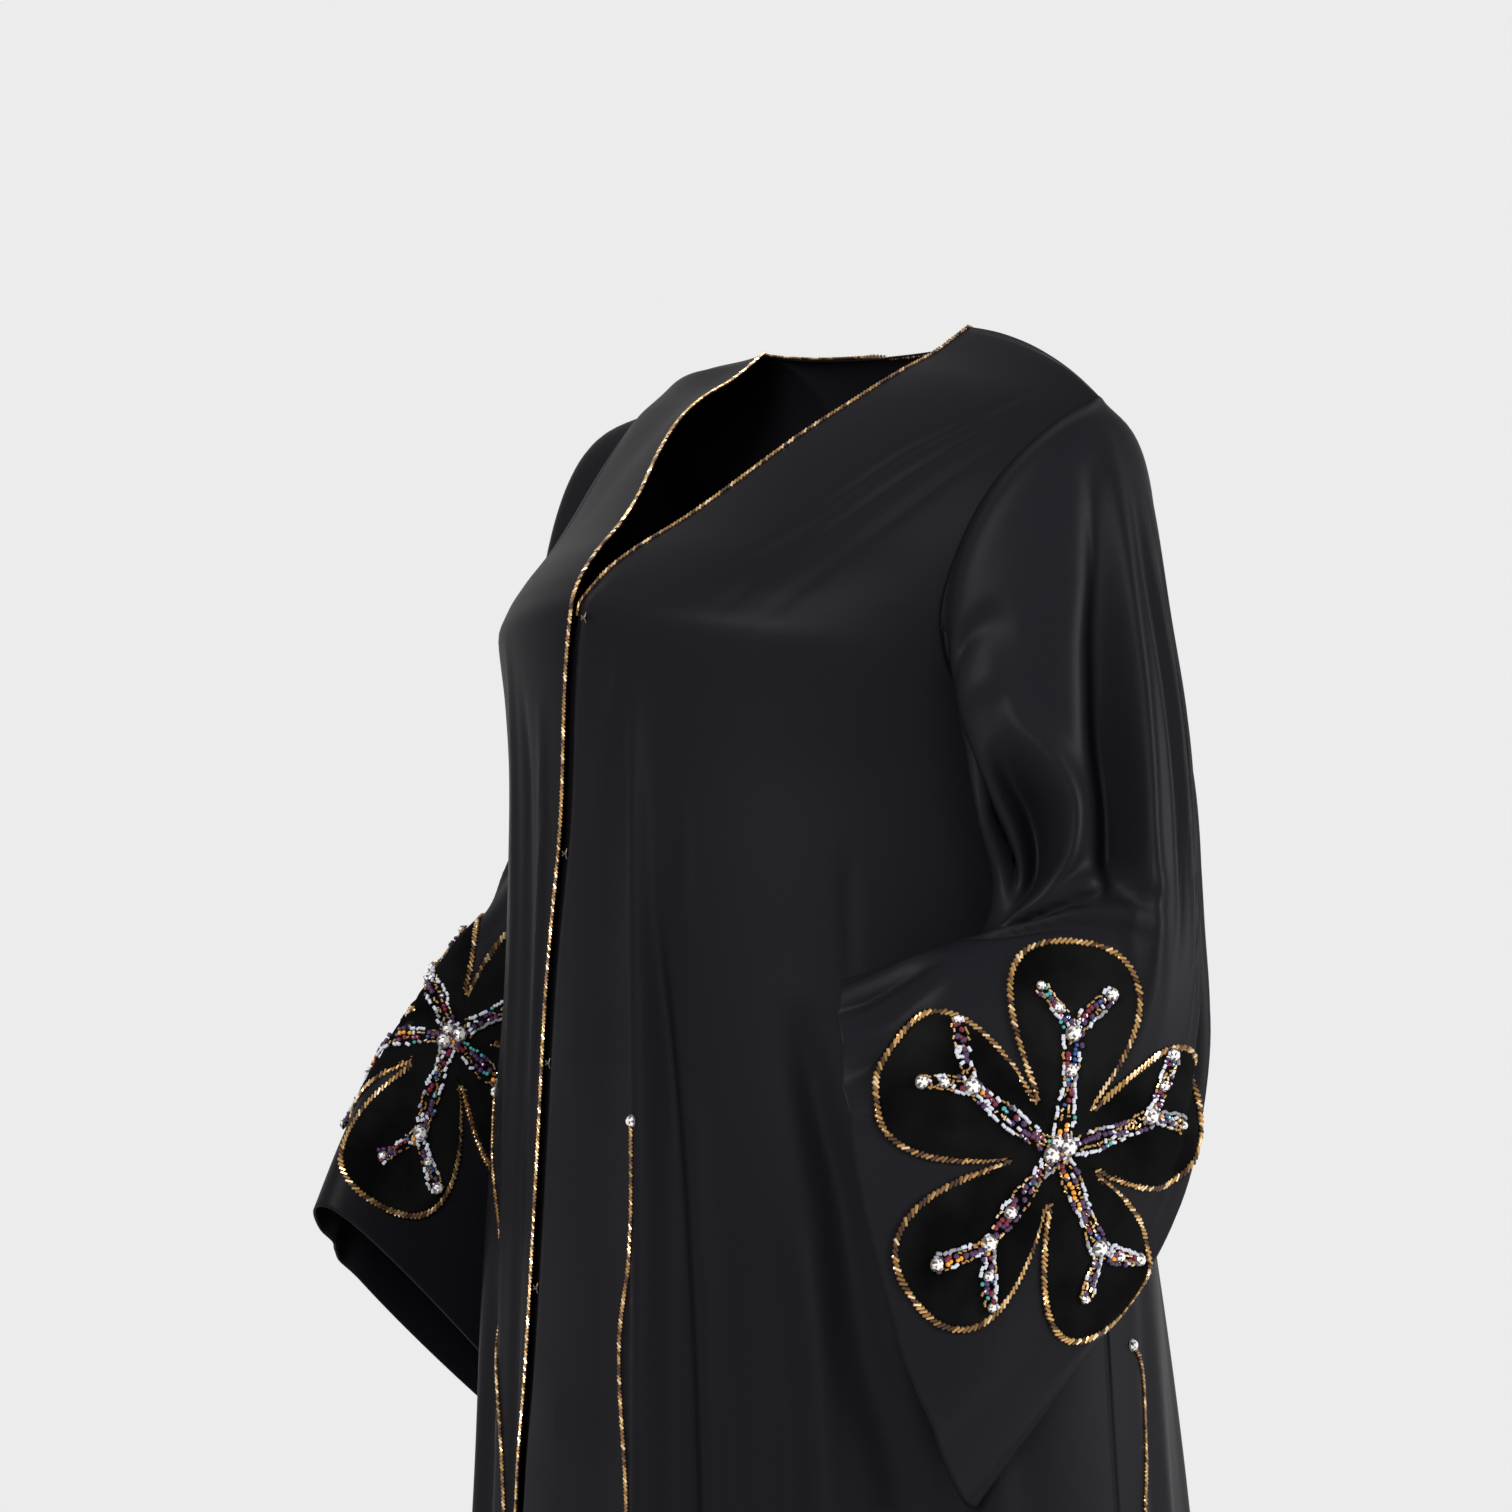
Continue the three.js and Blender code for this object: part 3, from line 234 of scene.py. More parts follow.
# Fine folds of the body, each a run of rows: height, angle round the body, half width, depth outwards.
BODY_STREAKS = [
    # Ridges that run down to the lap.
    [(-199, 13, 1.8, 0), (-275, 8.6, 1.6, 3), (-419, 2, 1.6, 3), (-520, -4, 1.6, 2), (-600, -8, 1.6, 0)],
    [(-580, 5, 2, 0), (-640, 2.5, 2, 4), (-720, -6, 2, 5), (-800, -14, 2, 2), (-850, -17, 2, 0)],
    # The sharp side of the main fold, and the folds beyond it.
    [(-350, 16.2, 1.2, 0), (-480, 19.0, 1.3, -4), (-740, 21.7, 1.5, -7), (-1450, 23, 2.2, -8)],
    [(-480, 23, 1.6, 0), (-560, 24, 1.6, 3), (-740, 25.5, 1.8, 5), (-1450, 28, 2.5, 6)],
    [(-300, 23.7, 0.9, 0), (-350, 23.5, 0.9, 1.4), (-410, 23.2, 0.9, 0)],
    [(-330, 51, 1.1, 0), (-370, 51, 1.1, -1.6), (-430, 50.5, 1.1, 0)],
    [(-560, 36, 2, 0), (-620, 36.5, 2.2, -3), (-730, 37.2, 2.5, -5), (-1450, 38, 3.5, -6)],
    [(-560, 41, 2.2, 0), (-640, 42, 2.2, 4), (-1000, 44, 3, 7), (-1450, 46, 4, 8)],
    # The hollow behind the hanging cuff.
    [(-430, 42, 3, 0), (-490, 43.5, 3, -7), (-550, 46, 3.5, -10)]
    + [(-640, 48.5, 4, -10), (-740, 53.5, 4, -10), (-1450, 58, 5, -8)],
    [(-600, 66, 4, 0), (-740, 67, 4, 7), (-1450, 70, 5, 9)],
    # The right front's upright folds.
    [(-200, -27, 1.8, 0), (-277, -26.9, 1.8, 3), (-413, -25.6, 1.8, 4)]
    + [(-740, -26, 2, 4), (-1450, -27, 3, 5)],
    [(-230, -20, 1.8, 0), (-300, -19.5, 1.8, -3), (-450, -19, 1.8, -4), (-1450, -22, 2.8, -5)],
    [(-240, -12, 1.4, 0), (-300, -12, 1.4, 2.4), (-405, -13.2, 1.4, 3), (-560, -16, 1.4, 0)],
    [(-520, -36, 2, 0), (-700, -36.5, 2.2, 5), (-1450, -38, 3, 7)],
    [(-500, -52, 3, 0), (-700, -52, 3, 6), (-1450, -51, 4, 8)],
    [(-500, -74, 3.5, 0), (-700, -74, 3.5, 6), (-1450, -72, 4.5, 8)],
    # Pull lines from the shoulders towards the chest.
    [(-50, 56, 1.6, 0), (-70, 49, 1.6, -1.6), (-94, 40, 1.6, -2.2)]
    + [(-140, 31, 1.6, -1.4), (-165, 26, 1.6, 0)],
    [(-62, 58, 1.5, 0), (-85, 50, 1.5, -1.8), (-120, 41, 1.5, -2), (-170, 33, 1.5, -1), (-200, 29, 1.5, 0)],
    [(-80, 59, 1.7, 0), (-108, 52, 1.7, -2), (-150, 44, 1.7, -1.8), (-215, 36, 1.7, 0)],
    [(-60, -58, 1.8, 0), (-85, -50, 1.8, -1.8), (-130, -41, 1.8, -2), (-180, -34, 1.8, 0)],
    [(-80, -62, 1.8, 0), (-115, -53, 1.8, -2), (-165, -44, 1.8, -1.6), (-210, -38, 1.8, 0)],
    # Soft upright folds behind.
    [(-380, 168, 4, 0), (-700, 168, 5, -7), (-1450, 167, 6, -10)],
    [(-420, -166, 4, 0), (-720, -167, 5, -7), (-1450, -168, 6, -10)],
    [(-480, 134, 3.5, 0), (-760, 135, 4, 7), (-1450, 136, 5, 9)],
    [(-480, -135, 3.5, 0), (-760, -136, 4, 7), (-1450, -136, 5, 9)],
    [(-560, 105, 3.5, 0), (-800, 105, 4, -7), (-1450, 104, 5, -9)],
    [(-560, -106, 3.5, 0), (-800, -106, 4, -7), (-1450, -104, 5, -9)],
    [(-120, 150, 7, 0), (-180, 152, 7, -3), (-260, 155, 7, 0)],
    [(-120, -150, 7, 0), (-180, -152, 7, -3), (-260, -155, 7, 0)],
]


def broad_folds(angle, z):
    """Depth of the broad folds at an angle round the body and a height."""
    total = np.zeros(np.broadcast(angle, z).shape)
    for (a, b, c), half, depth, top, full, low in BROAD_FOLDS:
        down = np.clip((top - z) / (top - HEM_Z), 0, 1)
        centre = np.where(down < 0.5, mix(a, b, down * 2), mix(b, c, down * 2 - 1))
        grow = ease((top - z) / (top - full))
        total += depth * mix(1, low, down) * grow * bump(angle, centre, half * (1 + WIDEN * down))
    return total


def streaks(runs, key, across, turns_key=False):
    """Depth of fine folds: each run gives the fold's middle, half width and depth by its key column.

    Angles go round: the middle is an angle, or the key is one where turns_key is set.
    """
    total = np.zeros(np.broadcast(key, across).shape)
    for run in runs:
        curves = table(["key", "middle", "half", "depth"], sorted(run))
        low, high = min(row[0] for row in run), max(row[0] for row in run)
        place = (key - low) % 360 + low if turns_key else key
        gap = across - curves["middle"](place)
        if not turns_key:
            gap = (gap + 180) % 360 - 180
        inside = (place >= low) & (place <= high)
        total += np.where(inside, curves["depth"](place) * bump(gap, 0, curves["half"](place)), 0)
    return total


def oval_point(A, B, y, angle, z):
    """A point of the oval with its folds. The angle is 0 in front, 90 at the wearer's left, 180 behind."""
    s, c = np.sin(np.radians(angle)), np.cos(np.radians(angle))
    out = unit(np.stack([s / A, -c / np.maximum(B, 1), 0 * z], -1))
    depth = broad_folds(angle, z) + streaks(BODY_STREAKS, z, angle)
    return np.stack([A * s, y - B * c, z + 0 * s], -1) + out * depth[..., None]


def front_angles(p, side):
    """Angles of the panel's main columns at distance p: five for the lap, then the others."""
    z, A = FRONT["zIn"](p), FRONT["A"](p)
    outer = 90.0 if p >= UNDERARM else math.degrees(math.asin(FRONT["xOut"](p) / A))
    if p >= V_POINT:
        steps = LAP_STEPS[side]
        if side > 0:
            steps = mix(np.maximum(0, steps + UNDERLAP), steps, ease((p - V_POINT) / LAP_OPENS))
        lap = np.degrees(np.arcsin((side * EDGE["x"](z) + steps) / A))
        rest = FRONT_ANGLES * outer / 90
        start = max(rest[0], lap[-1] + LAP_SPACE)
        squeeze = (start - rest[0]) / (outer - rest[0])
        return np.concatenate([lap, rest + (outer - rest) * squeeze])
    inner = math.degrees(math.asin(FRONT["xIn"](p) / A))
    at_v = front_angles(V_POINT, side)
    return inner + (outer - inner) * (at_v - at_v[0]) / (at_v[-1] - at_v[0])


def lifted(points):
    """The wearer's right shoulder is higher than the left one; the cloth follows it."""
    x, z = points[..., 0], points[..., 2]
    across = ease((-x - RIGHT_LIFT["from"]) / RIGHT_LIFT["over"])
    points[..., 2] = z + RIGHT_LIFT["by"] * across * ease((z - RIGHT_LIFT["low"]) / RIGHT_LIFT["height"])
    return points


def shoulder_height(x):
    """Height of the shoulder seam, a low arch from the neck to the armhole."""
    part = np.clip((x - NECK["x"]) / (ARM_POINT["x"] - NECK["x"]), 0, 1)
    return mix(NECK["z"], ARM_POINT["z"], part) + SHOULDER_RISE * 4 * part * (1 - part)


def even_rows(length, step, knots):
    """Distances down a panel, close together, that pass through the named ones."""
    stops = sorted({0, length, *knots})
    parts = [np.linspace(a, b, max(2, round((b - a) / step) + 1))[:-1] for a, b in zip(stops, stops[1:])]
    return np.concatenate([*parts, [length]])


ROW_STEP = 7
FRONT_ROWS = even_rows(HEM, ROW_STEP, [V_POINT, UNDERARM])
BACK_ROWS = even_rows(BACK_HEM, ROW_STEP, [BACK_SETTLE, BACK_UNDERARM])
V_ROW = int(np.searchsorted(FRONT_ROWS, V_POINT))
ARM_ROW = int(np.searchsorted(FRONT_ROWS, UNDERARM))
BACK_ARM_ROW = int(np.searchsorted(BACK_ROWS, BACK_UNDERARM))
COLUMN_SPLITS = [5, 4, 3, 4, 3, 3, 4, 4, 5, 6, 7, 8, 8, 8, 8, 8]  # fine columns in each main one
BACK_COLUMNS = 78  # in each half


def front_grid(side):
    """A front panel, rows down from the shoulder and columns out from the edge; side is 1 for the left."""
    splits = [k + np.arange(n) / n for k, n in enumerate(COLUMN_SPLITS)]
    columns = np.concatenate([*splits, [len(COLUMN_SPLITS)]])
    main = np.arange(len(COLUMN_SPLITS) + 1)
    angles = np.array([np.interp(columns, main, front_angles(p, side)) for p in FRONT_ROWS])
    share = (angles - angles[:, :1]) / (angles[:, -1:] - angles[:, :1])
    p = FRONT_ROWS[:, None] + 0 * angles
    z = mix(FRONT["zIn"](p), FRONT["zOut"](p), share**FRONT_TILT)
    points = oval_point(FRONT["A"](p), FRONT["B"](p), FRONT["y"](p), side * angles, z)
    points[0, :, 2] = shoulder_height(np.abs(points[0, :, 0]))
    if side > 0:
        inner = np.where(p < V_POINT, FRONT["xIn"](p), EDGE["x"](z))
        opened = ease((p - V_POINT + LAP_START) / LAP_SINK)
        sunk = UNDERLAP_DEPTH * opened * (1 - ease((points[..., 0] - inner + 1) / UNDERLAP_FADE))
        points[..., 1] += np.where(p > V_POINT - LAP_START, sunk, 0)
    return lifted(points)


def back_grid():
    """The back panel, rows down from the neck and shoulders, columns from the left to the right."""
    half = np.linspace(0, 1, BACK_COLUMNS + 1)
    part = np.concatenate([half[:0:-1], half])[None, :] + 0 * BACK_ROWS[:, None]
    side = np.concatenate([np.ones(BACK_COLUMNS), -np.ones(BACK_COLUMNS + 1)])[None, :]
    p = BACK_ROWS[:, None] + 0 * part
    A = BACK["A"](p)
    outer = np.where(p >= BACK_UNDERARM, 90, np.degrees(np.arcsin(np.minimum(1, BACK["xOut"](p) / A))))
    angle = 180 - outer * part
    z = mix(BACK["zIn"](p), BACK["zOut"](p), part**BACK_TILT)
    full = oval_point(A, BACK["B"](p), BODY_Y + 0 * p, side * angle, z)
    # Near the top edge the rows leave the shoulder seam and the back neckline.
    in_neck = part <= NECK_SHARE
    along = np.where(in_neck, part / NECK_SHARE, (part - NECK_SHARE) / (1 - NECK_SHARE))
    quarter = along * math.pi / 2
    x0 = np.where(in_neck, NECK["x"] * np.sin(quarter), mix(NECK["x"], ARM_POINT["x"], along))
    depth = np.where(in_neck, NECK["back_depth"] * np.cos(quarter), 0)
    z0 = np.where(in_neck, NECK["z"] - NECK["back_drop"] * (1 - along**2), shoulder_height(x0))
    top = np.stack([side * x0, NECK["y"] + depth, z0], -1)
    settle = ease(p / BACK_SETTLE)
    way = np.sin(np.clip(p / BACK_SETTLE, 0, 1) * math.pi / 2)
    return lifted(mix(top, full, np.stack([settle, way, settle], -1)))


def grid_normals(grid, around, sign):
    """Directions out of a grid's surface; around is set for a tube."""
    if around:
        across = np.roll(grid, -1, axis=1) - np.roll(grid, 1, axis=1)
    else:
        across = np.gradient(grid, axis=1)
    along = np.gradient(grid, axis=0)
    return unit(np.cross(across, along)) * sign


# The sleeves. Each ring has four guide points: L outside, F in front, M next to the body, B behind.
LEFT_RINGS = [
    [(243, 16, -72), (206, -82, -195), (210, 11, -297), (211, 72, -195)],
    [(257, 16, -112), (214, -84, -222), (214, 12, -306), (228, 62, -228)],
    [(268, 18, -172), (222, -82, -262), (217, 13, -322), (244, 56, -275)],
    [(279, 22, -245), (229, -76, -308), (219, 12, -350), (256, 58, -335)],
    [(288, 20, -320), (232, -64, -350), (221, 4, -384), (260, 60, -405)],
    [(292, 10, -388), (232, -72, -384), (222, -12, -420), (264, 62, -478)],
    [(290, -20, -446), (229, -97, -392), (224, -35, -460), (262, 50, -556)],
    [(282, -66, -494), (226, -121, -398), (224, -62, -502), (258, 20, -613)],
    [(269, -112, -528), (223, -148, -405), (216, -88, -532), (255, -22, -652)],
    [(256, -152, -550), (220, -166, -410), (206, -108, -552), (248, -62, -690)],
    [(246, -183, -562), (218, -180, -413), (198, -122, -562), (236, -96, -730)],
]
RIGHT_RINGS = [
    *LEFT_RINGS[:3],
    [(281, 20, -245), (231, -78, -308), (220, 12, -350), (256, 58, -335)],
    [(293, 18, -320), (240, -76, -350), (222, 4, -384), (263, 60, -405)],
    [(300, 4, -390), (248, -88, -384), (225, -14, -424), (268, 60, -480)],
    [(303, -30, -455), (254, -120, -415), (228, -45, -475), (271, 54, -560)],
    [(302, -70, -528), (256, -153, -452), (230, -82, -532), (272, 40, -640)],
    [(300, -103, -590), (256, -190, -498), (231, -118, -580), (271, 18, -705)],
    [(298, -130, -636), (256, -216, -542), (231, -145, -618), (268, -2, -752)],
    [(297, -150, -672), (256, -238, -587), (230, -166, -650), (265, -20, -790)],
]
SEAM_LIFT = 0.7  # the sleeve starts this far over the armhole's edge
SEAM_OUT = 0.3
# The sleeves stay clear of the body below their top, and the right one more so from its third ring on.
CLEAR_TOP = -205
SLEEVE_CLEAR = 5
RIGHT_CLEAR = 11
RIGHT_CLEAR_RINGS = (2, 5)
SLEEVE_ROWS = 111
SLEEVE_COLUMNS = 176
CUFF_MARGIN = 2.6  # rows of the cuff that nothing sewn on reaches
PROBE = 0.05  # part of a row or column over which the cloth's slope is taken
STEP = 2.0  # length of one step on the cloth

# Folds of the sleeves. Runs along the arm: ring number, angle round the sleeve, half width, depth.
# The angle is 0 outside, 90 in front, 180 next to the body and 270 behind.
LEFT_ALONG = [
    # The long outer fold from the shoulder, and the dark trough in front of it.
    [(1.2, 4, 5, 0), (2.5, 6, 5, 5), (3.6, 9, 5, 9), (4.9, 11, 5, 11)]
    + [(6, 5, 6, 11), (6.6, -3, 7, 7), (7.6, -10, 8, 0)],
    [(1.6, 16, 5, 0), (2.8, 19, 6, -8), (3.6, 23, 8, -17)]
    + [(4.6, 25, 9, -27), (5.4, 25, 9, -25), (5.9, 24, 8, 0)],
    # The crescent fold over the crook of the arm, with its trough, and the gap next to the body.
    [(3.3, 66, 4, 0), (3.7, 62, 5, 5), (4.2, 52, 6, 10), (4.8, 46, 6, 13)]
    + [(5.3, 48, 6, 12), (5.7, 58, 6, 7), (6.1, 74, 6, 0)],
    [(3.6, 78, 7, 0), (4.2, 69, 8, -15), (4.8, 64, 8, -24), (5.3, 65, 8, -20), (5.8, 74, 6, 0)],
    [(2.6, 104, 5, 0), (3.4, 97, 5, -8), (4.1, 89, 5, -14), (4.9, 84, 5, -16), (5.6, 78, 5, 0)],
    # Soft folds of the outer side.
    [(1.8, 352, 3, 0), (3.1, 347, 3, 2.4), (4.3, 344, 3, 3), (5.4, 337, 3, 2.4), (6.6, 330, 3, 0)],
    [(2, 358, 3, 0), (3.5, 355, 3, -2.4), (5, 351, 3.4, -3), (6.4, 346, 3, 0)],
    [(2.4, 338, 3.5, 0), (3.6, 335, 3.5, -3), (5, 330, 4, -4), (6.8, 322, 4, 0)],
    [(1.6, 322, 5, 0), (3.4, 318, 5, -5), (5.6, 312, 6, -7), (8, 306, 6, 0)],
    [(1.4, 290, 6, 0), (3.6, 288, 6, -5), (6, 284, 6, -7), (8.5, 282, 6, 0)],
    [(2.2, 305, 5, 0), (4.6, 300, 5, 5), (7.5, 295, 6, 5), (9.5, 292, 6, 0)],
    # Small folds where the cuff hangs from the wrist.
    [(7.8, 84, 4, 0), (8.8, 78, 4, 3), (10, 74, 4, 3), (11, 72, 4, 2)],
    [(7.8, 72, 3.5, 0), (8.8, 67, 3.5, -4), (9.8, 63, 3.5, -5), (11, 61, 3.5, -3)],
    [(8, 60, 3.5, 0), (9, 54, 3.5, 4), (9.8, 50, 3.5, 5), (11, 49, 4, 2)],
    [(8.4, 48, 3.5, 0), (9.3, 43, 3.5, -4), (10, 39, 3.5, -5), (11, 37, 4, -2)],
    [(9, 34, 4, 0), (9.8, 30, 4, 3), (11, 28, 4, 3)],
    # The hanging tip.
    [(9.2, 320, 6, 0), (10, 318, 6, 3), (11, 317, 6, 4)],
    [(9, 338, 6, 0), (10, 336, 6, -3), (11, 335, 6, -4)],
    [(8.6, 240, 8, 0), (9.8, 238, 8, -5), (11, 236, 8, -6)],
    [(8.6, 262, 8, 0), (9.8, 262, 8, 5), (11, 262, 8, 6)],
]
RIGHT_ALONG = [
    [(1.6, 4, 6, 0), (3.2, 4, 6, 5), (5, 2, 6, 7), (7, -4, 7, 4), (8.2, -8, 8, 0)],
    [(1.8, 20, 7, 0), (3.4, 24, 8, -6), (5, 28, 9, -9), (6.4, 30, 8, 0)],
    [(3.2, 66, 5, 0), (4.4, 56, 6, 6), (5.4, 54, 6, 6), (6.4, 64, 6, 0)],
    [(2, 330, 5, 0), (4, 326, 5, -4), (6.4, 320, 6, -5), (9, 314, 6, 0)],
    [(1.6, 292, 6, 0), (4, 290, 6, -5), (7, 286, 6, -6), (9.6, 284, 6, 0)],
    [(2.4, 308, 5, 0), (5, 304, 5, 5), (8, 300, 6, 5), (10, 298, 6, 0)],
    [(7.6, 44, 5, 0), (9, 42, 5, -4), (11, 40, 5, -5)],
    [(7.6, 28, 5, 0), (9, 26, 5, 4), (11, 25, 5, 5)],
    [(7.6, 238, 8, 0), (9.4, 236, 8, -5), (11, 236, 8, -6)],
    [(7.6, 258, 8, 0), (9.4, 258, 8, 5), (11, 258, 8, 6)],
]
# Runs round the arm: angle, ring number, half width in rings, depth.
LEFT_AROUND = [
    # The gathers over the crook of the arm.
    [(-4, 5.62, 0.12, 0), (12, 5.62, 0.12, 3), (40, 5.72, 0.12, 5), (68, 6.02, 0.14, 4), (82, 6.3, 0.14, 0)],
    [(-4, 5.8, 0.1, 0), (12, 5.8, 0.1, -3), (40, 5.9, 0.1, -5), (66, 6.22, 0.12, -5), (80, 6.45, 0.12, 0)],
    [(0, 5.98, 0.1, 0), (14, 6, 0.1, 3), (40, 6.1, 0.1, 4), (66, 6.44, 0.12, 4), (82, 6.7, 0.12, 0)],
    [(4, 6.16, 0.1, 0), (20, 6.2, 0.1, -2), (44, 6.32, 0.1, -3), (68, 6.7, 0.12, -4), (84, 7, 0.12, 0)],
    # A dimple near the armhole, and the pull lines under the arm.
    [(54, 2.8, 0.22, 0), (66, 2.45, 0.22, -4), (82, 2.1, 0.24, -5), (98, 1.7, 0.26, 0)],
    [(60, 3.25, 0.2, 0), (72, 2.95, 0.2, 3), (88, 2.6, 0.24, 3), (100, 2.3, 0.26, 0)],
    [(100, 6.5, 0.25, 0), (130, 6.2, 0.25, -3), (170, 6, 0.25, -3), (210, 6.2, 0.25, 0)],
    [(190, 5, 0.3, 0), (230, 5.3, 0.3, -4), (262, 5.8, 0.3, -4), (290, 6.3, 0.3, 0)],
    [(190, 6.4, 0.3, 0), (230, 6.6, 0.3, -4), (262, 7, 0.3, -4), (290, 7.4, 0.3, 0)],
]
RIGHT_AROUND = [
    [(6, 5.6, 0.24, 0), (26, 5.6, 0.24, 1.6), (52, 5.8, 0.24, 2), (80, 6.2, 0.24, 0)],
    [(6, 6.1, 0.22, 0), (26, 6.1, 0.22, -1.6), (52, 6.3, 0.22, -2), (80, 6.7, 0.22, 0)],
    [(190, 5.4, 0.3, 0), (230, 5.7, 0.3, -4), (262, 6.2, 0.3, -4), (290, 6.7, 0.3, 0)],
]


def ring_points(ring, alpha, side):
    """Points of a ring at the angles alpha, through its four guide points."""
    L, F, M, B = (np.array([side * x, y, z], float) for x, y, z in ring)
    a = np.radians(alpha)[:, None]
    points = (
        (L + F + M + B) / 4
        + (L - M) / 2 * np.cos(a)
        + (F - B) / 2 * np.sin(a)
        + (L + M - F - B) / 4 * np.cos(2 * a)
    )
    return lifted(points)


def spline(points, t):
    """A smooth run through an array of points by ring number t."""
    last = len(points) - 1
    i = min(last - 1, int(t))
    f = t - i
    a, b, c, d = (points[min(last, max(0, k))] for k in (i - 1, i, i + 1, i + 2))
    return (
        b * (1 - f)
        + c * f
        + (c - a) * (0.5 * f * (1 - f) ** 2)
        - (c - b) * (f * (1 - f) ** 2)
        + (c - b) * (f * f * (1 - f))
        - (d - b) * (0.5 * f * f * (1 - f))
    )


def clear_of_body(points, clear):
    """Moves the points of a ring out of the body's outline, grown by clear."""
    x, y, z = points[:, 0], points[:, 1], points[:, 2]
    A = OUTLINE["A"](z) + clear
    B = np.where(y < BODY_Y, OUTLINE["front"](z), OUTLINE["back"](z)) + clear
    far = np.hypot(x / A, (y - BODY_Y) / B)
    push = np.where((z > CLEAR_TOP) | (far >= 1), 1, far)
    points[:, 0] = x / push
    points[:, 1] = BODY_Y + (y - BODY_Y) / push
    return points


def armhole_loop(side, front, back):
    """The armhole: down the front from the shoulder seam, then up the back."""
    down = (slice(None, ARM_ROW + 1), -1)
    up = (slice(BACK_ARM_ROW - 1, 0, -1), 0 if side > 0 else -1)
    normals = np.concatenate([front.normals[down], back.normals[up]])
    return np.concatenate([front.grid[down], back.grid[up]]), normals


def resampled(points, values, count, closed):
    """Points at even distances along a run, with their values and the distance of each."""
    if closed:
        points = np.concatenate([points, points[:1]])
        values = np.concatenate([values, values[:1]])
    run = np.concatenate([[0], np.cumsum(np.linalg.norm(np.diff(points, axis=0), axis=1))])
    at = np.linspace(0, run[-1], count, endpoint=not closed)
    found = [np.stack([np.interp(at, run, column) for column in rows.T], -1) for rows in (points, values)]
    return *found, at, run[-1]


def sleeve_grid(side, rings, loop, loop_normals, along_runs, around_runs):
    """A sleeve, rows from the armhole to the cuff and columns round it."""
    under = loop[ARM_ROW]
    points, normals, run, total = resampled(loop, loop_normals, SLEEVE_COLUMNS, True)
    normals = unit(normals)
    low = run[np.argmin(np.linalg.norm(points - under, axis=1))]
    alpha = np.where(run <= low, 180 * run / low, 180 + 180 * (run - low) / (total - low))
    guides = [ring_points(ring, alpha, side) for ring in rings]
    away = guides[0] - points
    away = unit(away - normals * (away * normals).sum(-1, keepdims=True))
    edge = points + normals * SEAM_LIFT + away * SEAM_OUT
    first, full = RIGHT_CLEAR_RINGS
    rows = []
    for i in range(SLEEVE_ROWS):
        t = i / (SLEEVE_ROWS - 1) * len(rings)
        grown = 0 if side > 0 else ease((t - first) / (full - first))
        clear = mix(SLEEVE_CLEAR, RIGHT_CLEAR, grown)
        row = spline([edge, *guides], t)
        rows.append(clear_of_body(row, clear) if i else row)
    grid = np.array(rows)
    skin = grid_normals(grid, True, side)
    ring = np.linspace(0, len(rings), SLEEVE_ROWS)[:, None] + 0 * alpha[None, :]
    turn = alpha[None, :] + 0 * ring
    depth = streaks(along_runs, ring, turn) + streaks(around_runs, turn, ring, turns_key=True)
    return grid + skin * depth[..., None]


